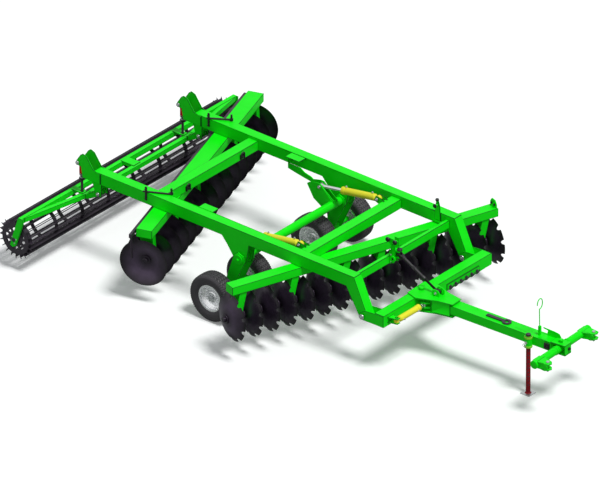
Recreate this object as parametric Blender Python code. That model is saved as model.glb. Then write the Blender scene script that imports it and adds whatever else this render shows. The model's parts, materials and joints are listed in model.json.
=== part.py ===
"""Trailed offset disc harrow with transport wheels and a rear cage roller.

X points forwards to the hitch, Y to the left and Z up; the floor is Z = 0 and X = 0 is the
rear end of the two main beams.  Sizes are in metres.  The machine stands parked: wheels
lowered, jack down.
"""
import math

import bpy
import bmesh
from mathutils import Matrix, Vector

GAP = 0.0004                    # running gap between pieces that touch
PLATE = 0.012                   # thickness of the welded plates
PIN_RADIUS = 0.020              # pins of the tow frame and the hitch
SMALL_PIN = 0.015               # pins of the rams, the turnbuckle and the roller
PIN_SIDES = 10

# Main beams, with legs bent down in front
BEAM_TOP = 1.089
BEAM_HIGH = 0.150
BEAM_WIDE = 0.126
BEAM_Y = 0.888
BEAM_BOTTOM = BEAM_TOP - BEAM_HIGH
KNEE_X = 3.851                  # fold line on top of the beam
KNEE_BACK_X = 3.734             # fold line under the beam
FOOT_BACK = (3.943, 0.588)      # leg foot, X and Z of its rear corner
FOOT_FRONT = (4.072, 0.608)

# Cross beams: X of the rear face, width, height, all flush with the beam's underside
FRONT_CROSS = (3.727, 0.050, 0.100)
MIDDLE_CROSS = (2.930, 0.137, 0.119)
REAR_CROSS = (0.809, 0.137, 0.119)
TAB = (1.445, 1.655, 0.115)     # gang stop on each beam: X of its ends, reach inwards
HOSE_STAND = (3.560, 3.655, 0.165)      # plate on the left beam: X of its ends, height above it
KNOB_RADIUS = 0.016

# Gangs: eight discs a shaft, two shafts a gang
DISC_PITCH = 0.230
DISC_RADIUS = 0.290
DISC_DEPTH = 0.085
DISC_THICK = 0.006
DISCS_PER_SHAFT = 8
SHAFT_RADIUS = 0.042            # spools on the square bolt
AXIS_Z = 0.519
NOTCHES = 10
NOTCH_SHARE = 0.86              # radius at the bottom of a notch
RIM_SIDES = 20                  # facets of a plain disc's rim
SPOOL_SIDES = 10
DISC_BEND = 0.70                # ring between hub and rim, as a share of the radius
SHAFT_END = 0.045               # shaft beyond the outer discs' hubs
FRONT_GANG = dict(angle=18.6, start=(2.716, -1.790), length=3.535, wide=0.148, high=0.103,
                  first=0.040, crown=-1)
REAR_GANG = dict(angle=-18.6, start=(1.150, -1.431), length=3.479, wide=0.194, high=0.103,
                 first=-0.015, crown=1)
HANGER_SLOTS = (0, 3, 6)        # hangers stand between disc n and n + 1 of a shaft
HANGER_WIDE = 0.100
HOUSING_RADIUS = 0.070

# Transport axle
ROCKSHAFT = (2.177, 0.735)
ROCKSHAFT_RADIUS = 0.050
AXLE = (2.000, 0.2915)
ARM_GAP = 0.012                 # arm plates stand clear of the hanger plates
WHEEL_OFFSET = 0.320            # wheel centre from the beam's centre line
STUB_AXLE_RADIUS = 0.028
TYRE_RADIUS = 0.291
TYRE_WIDE = 0.205
RIM_RADIUS = 0.154
STUB_END = 0.045                # the stub axle ends this far inside the tyre's outer wall
ARM_HEAD = 0.085                # half width of an arm plate at the rockshaft
BRACE = (0.045, 0.040)          # half sizes of the box that joins the arm plates at the stub
LEVER_PIN = (1.9995, 0.912)
LIFT_ANCHOR = (2.850, 1.054)
LIFT_Y = 0.690
LIFT_BARREL_RADIUS = 0.042
LIFT_ROD_RADIUS = 0.022
LIFT_BARREL_LONG = 0.545
RAM_NECK = 0.020                # between a ram's eye and its barrel
RAM_EYE_WIDE = 0.040
FORK_PLATES = (-0.035, 0.023)   # the plates either side of a ram's eye, from its middle
RAM_PIN_HALF = 0.045

# Tow frame
TOW_PIN = (3.984, 0.640)
LOW_BEAM = dict(back=4.156, wide=0.134, top=0.742, high=0.148, half=0.951)
DRAWBAR_PIVOT = (4.224, -0.205)
KING_PIN = 0.030
DRAWBAR_YAW = 2.94
DRAWBAR_WIDE = 0.160
DRAWBAR_HIGH = 0.110
DRAWBAR_TOP = 0.726
DRAWBAR_START = 0.20            # tube's rear end, from the pivot along the drawbar
HEAD_PLATE = [(-0.085, 0.16), (0.06, 0.21), (0.30, 0.12), (0.50, 0.085)]    # along, half width
HEAD_WEB = (0.225, 0.125)       # cross web between the head plates: along, half width
HEAD_CHEEK = [(0.230, 0.120), (0.460, 0.078)]       # side plates: along, across
DRAWBAR_LONG = 2.02             # tip block's centre from the pivot
HITCH_AT = DRAWBAR_LONG - 0.060         # hitch crossbar from the pivot
HITCH_HALF = 0.520
HITCH_RADIUS = 0.048
HITCH_PIN = 0.014               # pins of the tractor's lower links
HITCH_PIN_AT = (0.135, 0.085)   # ahead of the crossbar, and in from its end
EAR_HEIGHTS = (-0.040, 0.028)   # undersides of an end's two ear plates, from the middle
FORK_CLEAR = 0.006              # room between the crossbar and the fork plates of the tip
JACK_AT = DRAWBAR_LONG - 0.430
JACK_RADIUS = 0.028
JACK_WALL = 0.016
JACK_CLEAR = 0.012              # between the drawbar and the leg
SLEEVE_HALF = 0.075
JACK_FOOT = (0.065, 0.010)      # half width and thickness
HOLDER_AT = DRAWBAR_LONG - 0.360
HOLDER_POST = (0.016, 0.120)    # radius and height
HOLDER_RING = (0.045, 0.065, 0.400)     # half sizes of the loop and the height of its middle
HOLDER_WIRE = 0.006
WRENCH_AT = DRAWBAR_LONG - 0.820
WRENCH_LONG = 0.280
WRENCH_THICK = 0.018
MAST_Y = -0.180
TURNBUCKLE_TOP = (3.880, 1.075)
TURNBUCKLE_LOW = (4.445, 0.785)
CROSS_PIN = 0.010               # pins of the cross in the mast
CROSS_HALF = 0.032              # half the room between the mast's level ears
CLEVIS_HALF = 0.026             # half the room between the clevis plates on the drawbar's head
SWING_BASE = (4.372, 0.126 - LOW_BEAM["half"])
SWING_END = (SWING_BASE[0], DRAWBAR_PIVOT[1] - 0.140)
SWING_Z = 0.668
SIDE_RAIL = (0.160, 0.730, 0.603, 0.010)        # plate on the low beam's front: ends, middle, thickness

# Roller
ROLLER = (-0.456, 0.407)
ROLLER_SIDE = 0.068             # middle of the roller, left of the machine's middle
ROLLER_RADIUS = 0.233
ROLLER_TOOTH = 0.250
ROLLER_HALF = 1.870
ROLLER_WALL = 0.020
ROLLER_BARS = 10
ROLLER_RINGS = 9
ROLLER_RING_WIDE = 0.050
ROLLER_CAP = 0.010              # end disc
ROLLER_STUB = 0.036             # stub axle, in the bearing plate
STUB_RADIUS = 0.025
FRAME_TUBE = 0.058
REAR_TUBE_X = -0.359
FRONT_TUBE_X = -0.165
TUBE_Z = 0.685
FRONT_TUBE_HALF = BEAM_Y + 0.012        # where the front tube turns back to the end arms
ROLLER_PIVOT = (0.068, 0.815)
STRUT_TOP = (-0.234, 1.120)
STRUT_ROD = 0.015
STRUT_EYE = 0.030
SEAT = (0.240, 0.255, 0.034)    # spring seat on the rod: ends from its foot, radius
SPRING = (-0.1745, 0.128, 0.032)        # foot of the spring from the eye, length, radius

BLOCK_FACES = [(0, 1, 2, 3), (7, 6, 5, 4), (0, 4, 5, 1), (1, 5, 6, 2), (2, 6, 7, 3), (3, 7, 4, 0)]

COLOURS = {
    "green enamel": ((0.02, 0.75, 0.02), 0.35, 0.0),
    "black steel": ((0.03, 0.028, 0.032), 0.45, 0.6),
    "rubber": ((0.03, 0.03, 0.032), 0.85, 0.0),
    "white rim": ((0.80, 0.80, 0.82), 0.35, 0.2),
    "yellow enamel": ((0.85, 0.68, 0.03), 0.35, 0.0),
    "chromed rod": ((0.75, 0.77, 0.80), 0.15, 1.0),
    "red enamel": ((0.45, 0.01, 0.02), 0.40, 0.0),
}


def clear_scene():
    for item in list(bpy.data.objects):
        bpy.data.objects.remove(item, do_unlink=True)


def material(name):
    found = bpy.data.materials.get(name)
    if found:
        return found
    colour, roughness, metallic = COLOURS[name]
    made = bpy.data.materials.new(name)
    made.use_nodes = True
    shader = made.node_tree.nodes["Principled BSDF"]
    shader.inputs["Base Color"].default_value = (*colour, 1.0)
    shader.inputs["Roughness"].default_value = roughness
    shader.inputs["Metallic"].default_value = metallic
    return made


def solid(vertices, faces):
    """A closed solid as a scene object, its faces turned outwards."""
    mesh = bpy.data.meshes.new("solid")
    mesh.from_pydata([tuple(v) for v in vertices], [], faces)
    work = bmesh.new()
    work.from_mesh(mesh)
    bmesh.ops.recalc_face_normals(work, faces=work.faces)
    work.to_mesh(mesh)
    work.free()
    item = bpy.data.objects.new("solid", mesh)
    bpy.context.scene.collection.objects.link(item)
    return item


def prism(outline, plane, low, high):
    """An outline in plane XZ, XY or YZ, extruded from low to high along the third axis."""
    place = {"XZ": lambda a, b, c: (a, c, b), "XY": lambda a, b, c: (a, b, c),
             "YZ": lambda a, b, c: (c, a, b)}[plane]
    count = len(outline)
    vertices = [place(a, b, level) for level in (low, high) for a, b in outline]
    faces = [tuple(range(count)), tuple(range(2 * count - 1, count - 1, -1))]
    faces += [(i, (i + 1) % count, count + (i + 1) % count, count + i) for i in range(count)]
    return solid(vertices, faces)


def box(x, y, z):
    """A box from pairs of low and high coordinates."""
    return prism([(x[0], z[0]), (x[1], z[0]), (x[1], z[1]), (x[0], z[1])], "XZ", y[0], y[1])


def lathe(profile, base, direction, sides=24, turn=0.0):
    """Turn a profile of (along, radius) about an axis."""
    axis = Vector(direction).normalized()
    across = axis.orthogonal().normalized() if abs(axis.z) > 0.9 else \
        Vector((0, 0, 1)).cross(axis).normalized()
    third = axis.cross(across)
    vertices, rings = [], []
    for along, radius in profile:
        centre = Vector(base) + axis * along
        if radius == 0:
            rings.append([len(vertices)])
            vertices.append(centre)
            continue
        ring = []
        for side in range(sides):
            angle = turn + 2 * math.pi * side / sides
            ring.append(len(vertices))
            vertices.append(centre + radius * (math.cos(angle) * across + math.sin(angle) * third))
        rings.append(ring)
    faces = []
    closed = len(rings[0]) > 1
    pairs = list(zip(rings, rings[1:])) + ([(rings[-1], rings[0])] if closed else [])
    for one, two in pairs:
        for side in range(sides):
            after = (side + 1) % sides
            if len(one) == 1:
                faces.append((one[0], two[side], two[after]))
            elif len(two) == 1:
                faces.append((one[side], two[0], one[after]))
            else:
                faces.append((one[side], two[side], two[after], one[after]))
    return solid(vertices, faces)


def stepped_lathe(rings, base, direction, share=None):
    """Turn rings of (along, radius, sides) about an axis; rings may differ in their sides.

    The finest rings are the rims, and share(side) scales their points.
    """
    axis = Vector(direction).normalized()
    across = Vector((0, 0, 1)).cross(axis).normalized()
    third = axis.cross(across)
    finest = max(sides for along, radius, sides in rings)
    vertices, loops = [], []
    for along, radius, sides in rings:
        loop = []
        for side in range(sides):
            angle = 2 * math.pi * side / sides
            reach = radius * (share(side) if share and sides == finest else 1.0)
            loop.append(len(vertices))
            vertices.append(Vector(base) + axis * along
                            + reach * (math.cos(angle) * across + math.sin(angle) * third))
        loops.append(loop)
    faces = []
    for one, two in zip(loops, loops[1:]):
        coarse, fine = (one, two) if len(one) <= len(two) else (two, one)
        times = len(fine) // len(coarse)
        if len(coarse) == len(fine):
            faces += [(one[i], two[i], two[(i + 1) % len(two)], one[(i + 1) % len(one)])
                      for i in range(len(one))]
            continue
        for side in range(len(coarse)):
            here, after = coarse[side], coarse[(side + 1) % len(coarse)]
            start = side * times
            for step in range(times):
                faces.append((here, fine[start + step], fine[(start + step + 1) % len(fine)]))
            if here != after:
                faces.append((here, fine[(start + times) % len(fine)], after))
    return solid(vertices, faces)


def cylinder(start, end, radius, sides=12, turn=0.0):
    start, end = Vector(start), Vector(end)
    long = (end - start).length
    return lathe([(0, 0), (0, radius), (long, radius), (long, 0)], start, end - start, sides, turn)


def small_pin(start, end):
    return cylinder(start, end, SMALL_PIN, PIN_SIDES)


def tube(path, radius, sides=8):
    """A round bar bent along a path that lies in one plane across X."""
    vertices = []
    for number, point in enumerate(path):
        before, after = path[max(number - 1, 0)], path[min(number + 1, len(path) - 1)]
        side = Vector((1, 0, 0)).cross((after - before).normalized())
        for turn in range(sides):
            angle = 2 * math.pi * turn / sides
            vertices.append(point + radius * (math.cos(angle) * Vector((1, 0, 0))
                                              + math.sin(angle) * side))
    faces = [tuple(range(sides)), tuple(range(len(vertices) - 1, len(vertices) - 1 - sides, -1))]
    for ring in range(len(path) - 1):
        for turn in range(sides):
            one, two = ring * sides + turn, ring * sides + (turn + 1) % sides
            faces.append((one, two, two + sides, one + sides))
    return solid(vertices, faces)


def hole(start, end, radius, sides=12):
    """A cutter for the bore that a cylinder of this radius turns in.

    Its facets are turned half a step, so that the cylinder's edges meet the middles of the
    bore's facets with the running gap between them.
    """
    return cylinder(start, end, wall_radius(radius, sides), sides, math.pi / sides)


def wall_radius(radius, sides):
    """Corner radius of a bore with this many facets round a shaft of this radius."""
    return (radius + GAP) / math.cos(math.pi / sides)


def bar(start, end, wide, high, up=(0, 0, 1)):
    """A rectangular bar along a line, wide across and high along up."""
    start, end = Vector(start), Vector(end)
    along = (end - start).normalized()
    side = Vector(up).cross(along).normalized() * wide / 2
    top = along.cross(side).normalized() * high / 2
    corners = [base + a * side + b * top for base in (start, end)
               for a, b in ((-1, -1), (1, -1), (1, 1), (-1, 1))]
    return solid(corners, BLOCK_FACES)


def fuse(name, finish, pivot, pieces, cuts=()):
    """Join pieces into one sub-part named name, cut it, and put its origin on pivot."""
    body = pieces[0]
    groups = []
    for others, operation in ((pieces[1:], "UNION"), (cuts, "DIFFERENCE")):
        if not others:
            continue
        group = bpy.data.collections.new(operation)
        for other in others:
            group.objects.link(other)
        groups.append(group)
        step = body.modifiers.new(operation, "BOOLEAN")
        step.operand_type = "COLLECTION"
        step.collection = group
        step.operation = operation
        step.solver = "EXACT"
    graph = bpy.context.evaluated_depsgraph_get()
    mesh = bpy.data.meshes.new_from_object(body.evaluated_get(graph))
    body.modifiers.clear()
    body.data = mesh
    for other in list(pieces[1:]) + list(cuts):
        bpy.data.objects.remove(other, do_unlink=True)
    for group in groups:
        bpy.data.collections.remove(group)
    mesh.transform(Matrix.Translation(-Vector(pivot)))
    mesh.shade_smooth()
    mesh.set_sharp_from_angle(angle=math.radians(35))
    body.name = name
    body.location = pivot
    mesh.materials.clear()
    mesh.materials.append(material(finish))
    return body


def left_right(function):
    for side, sign in (("left", 1), ("right", -1)):
        function(side, sign)


def spread(sign, inner, outer):
    """Low and high Y of a piece that lies from inner to outer on one side of the middle."""
    return tuple(sorted((sign * inner, sign * outer)))


BEAM_IN = BEAM_Y - BEAM_WIDE / 2
BEAM_OUT = BEAM_Y + BEAM_WIDE / 2
HANGER_OUTLINE = [(-0.30, BEAM_BOTTOM), (0.13, BEAM_BOTTOM), (0.085, ROCKSHAFT[1] - 0.02),
                  (0.05, ROCKSHAFT[1] - 0.085), (-0.06, ROCKSHAFT[1] - 0.085),
                  (-0.20, BEAM_BOTTOM - 0.09)]
EAR_OUTLINE = [(0.10, BEAM_BOTTOM + 0.012), (0.10, BEAM_TOP - 0.01), (0.0, BEAM_TOP + 0.012),
               (-0.10, BEAM_TOP + 0.150), (-0.16, BEAM_TOP + 0.172), (-0.195, BEAM_TOP + 0.145),
               (-0.250, BEAM_TOP + 0.062), (-0.266, BEAM_TOP + 0.030),
               (-0.250, BEAM_TOP + 0.002), (-0.190, BEAM_TOP - 0.004),
               (-0.165, BEAM_BOTTOM + 0.012)]
BRACKET_OUTLINE = [(-0.035, BEAM_BOTTOM + 0.02), (0.11, BEAM_BOTTOM + 0.02),
                   (0.105, ROLLER_PIVOT[1] - 0.035), (0.022, ROLLER_PIVOT[1] - 0.035)]


def main_beam(side, sign):
    beam = prism([(0, BEAM_BOTTOM), (KNEE_BACK_X, BEAM_BOTTOM), FOOT_BACK, FOOT_FRONT,
                  (KNEE_X, BEAM_TOP), (0, BEAM_TOP)], "XZ", *spread(sign, BEAM_IN, BEAM_OUT))
    pieces = [beam]
    for inner in (BEAM_IN, BEAM_OUT - PLATE):
        hanger = [(ROCKSHAFT[0] + a, b + (0.02 if b == BEAM_BOTTOM else 0))
                  for a, b in HANGER_OUTLINE]
        pieces.append(prism(hanger, "XZ", *spread(sign, inner, inner + PLATE)))
    for inner in (BEAM_IN - PLATE + GAP, BEAM_OUT - GAP):
        pieces.append(prism(EAR_OUTLINE, "XZ", *spread(sign, inner, inner + PLATE)))
    for inner in (BEAM_IN, BEAM_OUT - PLATE):
        pieces.append(prism(BRACKET_OUTLINE, "XZ", *spread(sign, inner, inner + PLATE)))
    back, front, reach = TAB
    pieces.append(box((back, front), spread(sign, BEAM_IN - reach, BEAM_IN + 0.02),
                      (BEAM_TOP - PLATE, BEAM_TOP - 0.0005)))
    pieces.append(prism([(back + 0.02, BEAM_TOP - 0.09), (back + 0.02 + PLATE, BEAM_TOP - 0.09),
                         (back + 0.02 + PLATE, BEAM_TOP - 0.005), (back + 0.02, BEAM_TOP - 0.005)],
                        "XZ", *spread(sign, BEAM_IN - 0.8 * reach, BEAM_IN + 0.02)))
    if side == "left":
        pieces += hose_stand()
    low, high = spread(sign, BEAM_IN - PLATE, BEAM_OUT + PLATE)
    for x, z in (ROLLER_PIVOT, STRUT_TOP):
        pieces.append(small_pin((x, low - 0.01, z), (x, high + 0.01, z)))
    shaft_hole = hole((ROCKSHAFT[0], low - 0.1, ROCKSHAFT[1]),
                      (ROCKSHAFT[0], high + 0.1, ROCKSHAFT[1]), ROCKSHAFT_RADIUS, 20)
    pin_hole = hole((TOW_PIN[0], low - 0.1, TOW_PIN[1]), (TOW_PIN[0], high + 0.1, TOW_PIN[1]),
                    PIN_RADIUS)
    fuse("main_beam_" + side, "green enamel", (0, sign * BEAM_Y, BEAM_TOP), pieces,
         [shaft_hole, pin_hole])


def hose_stand():
    """Upright plate with a clamping knob, welded to the inner side of the left beam."""
    back, front, high = HOSE_STAND
    inside = BEAM_IN - PLATE + 0.0005
    outline = [(back, BEAM_TOP - 0.10), (front, BEAM_TOP - 0.10),
               (front - 0.012, BEAM_TOP + 0.55 * high), (front - 0.035, BEAM_TOP + high),
               (back + 0.030, BEAM_TOP + high), (back + 0.012, BEAM_TOP + 0.02)]
    middle = (back + front) / 2
    return [prism(outline, "XZ", inside, BEAM_IN + 0.0005),
            cylinder((middle, inside - 0.035, BEAM_TOP + 0.6 * high),
                     (middle, BEAM_IN + 0.02, BEAM_TOP + 0.6 * high), KNOB_RADIUS, PIN_SIDES)]


def cross_beam(size):
    back, wide, high = size
    inner = BEAM_IN - GAP
    return box((back, back + wide), (-inner, inner), (BEAM_BOTTOM, BEAM_BOTTOM + high))


def cross_beams():
    fuse("rear_cross_beam", "green enamel", (REAR_CROSS[0], 0, BEAM_BOTTOM), [cross_beam(REAR_CROSS)])
    middle = [cross_beam(MIDDLE_CROSS)]
    for sign in (1, -1):
        for offset in FORK_PLATES:
            y = spread(sign, LIFT_Y + offset, LIFT_Y + offset + PLATE)
            middle.append(prism([(LIFT_ANCHOR[0] - 0.04, LIFT_ANCHOR[1] - 0.03),
                                 (MIDDLE_CROSS[0] + 0.02, BEAM_BOTTOM + 0.03),
                                 (MIDDLE_CROSS[0] + 0.02, LIFT_ANCHOR[1] + 0.02),
                                 (LIFT_ANCHOR[0] - 0.02, LIFT_ANCHOR[1] + 0.04)], "XZ", *y))
        middle.append(small_pin((LIFT_ANCHOR[0], sign * LIFT_Y - RAM_PIN_HALF, LIFT_ANCHOR[1]),
                                (LIFT_ANCHOR[0], sign * LIFT_Y + RAM_PIN_HALF, LIFT_ANCHOR[1])))
    fuse("middle_cross_beam", "green enamel", (MIDDLE_CROSS[0], 0, BEAM_BOTTOM), middle)
    fuse("front_cross_beam", "green enamel", (FRONT_CROSS[0], 0, BEAM_BOTTOM),
         [cross_beam(FRONT_CROSS)])


def mast():
    face = FRONT_CROSS[0] + FRONT_CROSS[1] + GAP
    x, z = TURNBUCKLE_TOP
    pieces = [box((face, face + PLATE), (MAST_Y - 0.06, MAST_Y + 0.06),
                  (BEAM_BOTTOM, BEAM_TOP + 0.02))]
    for y in (MAST_Y - 0.042, MAST_Y + 0.030):
        pieces.append(prism([(face + 0.002, BEAM_BOTTOM + 0.005), (face + 0.05, BEAM_BOTTOM + 0.01),
                             (face + 0.07, z), (face + 0.06, BEAM_TOP + 0.16),
                             (face + 0.002, BEAM_TOP + 0.16)], "XZ", y, y + PLATE))
    for low in (z - CROSS_HALF - PLATE, z + CROSS_HALF):
        pieces.append(box((face + 0.005, x + 0.018), (MAST_Y - 0.036, MAST_Y + 0.036),
                          (low, low + PLATE)))
    pieces.append(small_pin((face + 0.035, MAST_Y - 0.060, z + 0.12),
                            (face + 0.035, MAST_Y + 0.060, z + 0.12)))
    bore = hole((x, MAST_Y, z - 0.1), (x, MAST_Y, z + 0.08), CROSS_PIN, PIN_SIDES)
    fuse("mast", "green enamel", (face, MAST_Y, BEAM_BOTTOM), pieces, [bore])


def gang_direction(gang):
    angle = math.radians(gang["angle"])
    along = Vector((math.sin(angle), math.cos(angle), 0))
    across = Vector((math.cos(angle), -math.sin(angle), 0))
    return along, across


def gang_point(gang, along, across=0.0, height=0.0):
    """A point given along the gang from its near end, across towards the front, and its Z."""
    line, side = gang_direction(gang)
    return Vector((*gang["start"], height)) + along * line + across * side


def disc_places(gang):
    """Distances of the rim planes from the near end of the beam."""
    return [gang["first"] + DISC_PITCH * i for i in range(2 * DISCS_PER_SHAFT)]


def hanger_places(gang):
    """Distances along the beam of the six hangers, midway between two hubs."""
    hub_shift = gang["crown"] * dish(SHAFT_RADIUS)
    return [gang["first"] + DISC_PITCH * (shaft * DISCS_PER_SHAFT + slot + 0.5) + hub_shift
            for shaft in (0, 1) for slot in HANGER_SLOTS]


def gang_beam(name, gang):
    top = BEAM_BOTTOM - GAP
    bottom = top - gang["high"]
    line, side = gang_direction(gang)
    start, end = gang_point(gang, 0), gang_point(gang, gang["length"])
    middle = Vector((0, 0, (top + bottom) / 2))
    lean = -gang["crown"] * dish(SHAFT_RADIUS)      # hangers follow the dish of the discs
    pieces = [bar(start + middle, end + middle, gang["wide"], gang["high"])]
    holes = []
    for place in hanger_places(gang):
        foot = [(-0.9 * HOUSING_RADIUS, AXIS_Z - 0.01), (-gang["wide"] * 0.42, bottom + 0.01),
                (gang["wide"] * 0.42, bottom + 0.01), (0.9 * HOUSING_RADIUS, AXIS_Z - 0.01)]
        corners = [gang_point(gang, place + step + (lean if b > AXIS_Z else 0), a, b)
                   for step in (-HANGER_WIDE / 2, HANGER_WIDE / 2) for a, b in foot]
        pieces.append(solid(corners, BLOCK_FACES))
        hub = gang_point(gang, place - HANGER_WIDE / 2 - 0.006, 0, AXIS_Z)
        pieces.append(cylinder(hub, hub + line * (HANGER_WIDE + 0.012), HOUSING_RADIUS, 12))
        holes.append(hole(hub - line * 0.05, hub + line * (HANGER_WIDE + 0.07), SHAFT_RADIUS,
                          SPOOL_SIDES))
    fuse(name, "green enamel", start + middle, pieces, holes)


def dish(radius):
    """Height of the dished disc above its rim plane at a radius."""
    ball = (DISC_RADIUS ** 2 + DISC_DEPTH ** 2) / (2 * DISC_DEPTH)
    return math.sqrt(ball ** 2 - radius ** 2) - (ball - DISC_DEPTH)


def notch(side):
    """Every third point of the rim lies at the bottom of a notch."""
    return NOTCH_SHARE if side % 3 == 2 else 1.0


def disc_gang(name, gang, shaft, notched):
    """One shaft: discs and spools turned in one profile, crown towards sign along the gang."""
    half, sign = DISC_THICK / 2, gang["crown"]
    first = gang["first"] + shaft * DISCS_PER_SHAFT * DISC_PITCH
    hub = sign * dish(SHAFT_RADIUS)
    begin = first + hub - SHAFT_END
    finish = first + (DISCS_PER_SHAFT - 1) * DISC_PITCH + hub + SHAFT_END
    rim_sides = 3 * NOTCHES if notched else RIM_SIDES
    rings = [(begin, 0, 1), (begin, SHAFT_RADIUS, SPOOL_SIDES)]
    for number in range(DISCS_PER_SHAFT):
        rim = first + number * DISC_PITCH
        skin = [SHAFT_RADIUS, DISC_BEND * DISC_RADIUS]
        rings += [(rim + sign * dish(radius) - half, radius, SPOOL_SIDES) for radius in skin]
        rings.append((rim, DISC_RADIUS, rim_sides))
        rings += [(rim + sign * dish(radius) + half, radius, SPOOL_SIDES) for radius in skin[::-1]]
    rings += [(finish, SHAFT_RADIUS, SPOOL_SIDES), (finish, 0, 1)]
    line, side = gang_direction(gang)
    base = gang_point(gang, 0, 0, AXIS_Z)
    made = stepped_lathe(rings, base, line, notch if notched else None)
    pivot = base + line * (begin + finish) / 2
    fuse(name, "black steel", pivot, [made])


def scraper_bar():
    """Flat bar behind the rear gang beam with a blade at each disc's hollow side."""
    gang, height = REAR_GANG, BEAM_BOTTOM - 0.060
    line, side = gang_direction(gang)
    back = -gang["wide"] / 2 - 0.035
    start = gang_point(gang, gang["first"] - 0.080, back, height)
    end = gang_point(gang, gang["length"], back, height)
    pieces = [bar(start, end, 0.030, 0.050)]
    for place in disc_places(gang):
        at = place - 0.040
        top = gang_point(gang, at, back - 0.005, height)
        low = gang_point(gang, at, back + 0.010, AXIS_Z + 0.06)
        pieces.append(bar(top, low, 0.055, 0.008, up=side))
    for place in hanger_places(gang):
        near = gang_point(gang, place, back + 0.01, height + 0.01)
        far = gang_point(gang, place, -gang["wide"] / 2 - GAP, height + 0.01)
        pieces.append(bar(near, far, 0.05, 0.012))
    fuse("rear_scraper_bar", "black steel", start, pieces)


def rockshaft():
    x, z = ROCKSHAFT
    far = BEAM_OUT + ARM_GAP + PLATE + 0.020
    pieces = [cylinder((x, -far, z), (x, far, z), ROCKSHAFT_RADIUS, 20)]
    direction = Vector((AXLE[0] - x, 0, AXLE[1] - z)).normalized()
    square = Vector((-direction.z, 0, direction.x))
    centre, foot = Vector((x, 0, z)), Vector((AXLE[0], 0, AXLE[1]))
    head = ARM_HEAD
    outline = [centre - direction * head * 0.8 + square * head * 0.6,
               centre - direction * head * 0.8 - square * head * 0.6,
               centre - square * head, foot - square * 0.055 + direction * 0.03,
               foot - square * 0.03 + direction * 0.06, foot + square * 0.03 + direction * 0.06,
               foot + square * 0.055 + direction * 0.03, centre + square * head]
    for sign in (1, -1):
        for inner in (BEAM_IN - ARM_GAP - PLATE, BEAM_OUT + ARM_GAP):
            y = spread(sign, inner, inner + PLATE)
            pieces.append(prism([(p.x, p.z) for p in outline], "XZ", *y))
        y = spread(sign, BEAM_IN - ARM_GAP - PLATE / 2, BEAM_OUT + ARM_GAP + PLATE / 2)
        pieces.append(box((foot.x - BRACE[0], foot.x + BRACE[0]), y,
                          (foot.z - BRACE[1], foot.z + BRACE[1])))
        reach = WHEEL_OFFSET + TYRE_WIDE / 2 - STUB_END
        pieces.append(cylinder((foot.x, sign * BEAM_Y - reach, foot.z),
                               (foot.x, sign * BEAM_Y + reach, foot.z), STUB_AXLE_RADIUS, 20))
        pin_x, pin_z = LEVER_PIN
        lever = [(x - 0.05, z - 0.03), (x + 0.05, z - 0.02), (x + 0.035, z + 0.06),
                 (pin_x + 0.04, pin_z + 0.012), (pin_x + 0.01, pin_z + 0.04),
                 (pin_x - 0.03, pin_z + 0.03), (pin_x - 0.035, pin_z - 0.02)]
        for offset, end in zip(FORK_PLATES, (-RAM_PIN_HALF, RAM_PIN_HALF)):
            y = spread(sign, LIFT_Y + offset, LIFT_Y + offset + PLATE)
            pieces.append(prism(lever, "XZ", *y))
            pieces.append(small_pin((pin_x, sign * (LIFT_Y + end), pin_z),
                                    (pin_x, sign * (LIFT_Y + 0.65 * end), pin_z)))
    fuse("rockshaft", "green enamel", (x, 0, z), pieces)


def wheel(name, y):
    x, z = AXLE
    half = TYRE_WIDE / 2
    wall = RIM_RADIUS
    tyre = [(-half * 0.72, wall), (-half, wall + 0.060), (-half * 0.92, TYRE_RADIUS - 0.022),
            (-half * 0.60, TYRE_RADIUS), (half * 0.60, TYRE_RADIUS),
            (half * 0.92, TYRE_RADIUS - 0.022), (half, wall + 0.060), (half * 0.72, wall)]
    fuse("tyre_" + name, "rubber", (x, y, z),
         [lathe(tyre, (x, y, z), (0, 1, 0), 20, turn=math.pi / 20)])
    seat = wall - GAP
    hub = wall_radius(STUB_AXLE_RADIUS, 20)
    rim = [(-0.052, hub), (-0.052, 0.060), (-0.006, seat - 0.028), (-half * 0.78, seat - 0.014),
           (-half * 0.78, seat), (half * 0.78, seat), (half * 0.78, seat - 0.014),
           (0.006, seat - 0.028), (0.052, 0.060), (0.052, hub)]
    fuse("rim_" + name, "white rim", (x, y, z),
         [lathe(rim, (x, y, z), (0, 1, 0), 20, turn=math.pi / 20)])


def wheels():
    for side, sign in (("left", 1), ("right", -1)):
        for place, offset in (("inner", -WHEEL_OFFSET), ("outer", WHEEL_OFFSET)):
            wheel(side + "_" + place, sign * (BEAM_Y + offset))


def ram(name, start, end, barrel_long, barrel_radius, rod_radius, eye):
    """A cylinder between two pins: the barrel's eye turns on a pin at start.

    The rod's eye at end is whole, because the pin there turns with the rod.
    """
    start, end = Vector(start), Vector(end)
    line = (end - start).normalized()
    flat = Vector((0, 0, 1)) if abs(line.y) > 0.5 else Vector((0, 1, 0))
    inner = wall_radius(rod_radius, 12)
    neck = eye + RAM_NECK
    barrel = lathe([(eye / 2, 0), (eye / 2, rod_radius), (neck, rod_radius), (neck, barrel_radius),
                    (barrel_long, barrel_radius), (barrel_long, inner), (neck + 0.02, inner),
                    (neck + 0.02, 0)], start, line, 12)
    half = flat * RAM_EYE_WIDE / 2
    ring = cylinder(start - half, start + half, eye)
    bore = hole(start - 2 * half, start + 2 * half, SMALL_PIN, PIN_SIDES)
    fuse(name + "_barrel", "yellow enamel", start, [barrel, ring], [bore])
    rod = cylinder(start + line * (barrel_long - 0.12), end - line * eye * 0.8, rod_radius, 12,
                   math.pi / 12)
    ring = cylinder(end - half, end + half, eye)
    fuse(name + "_rod", "chromed rod", end, [rod, ring])


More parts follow.
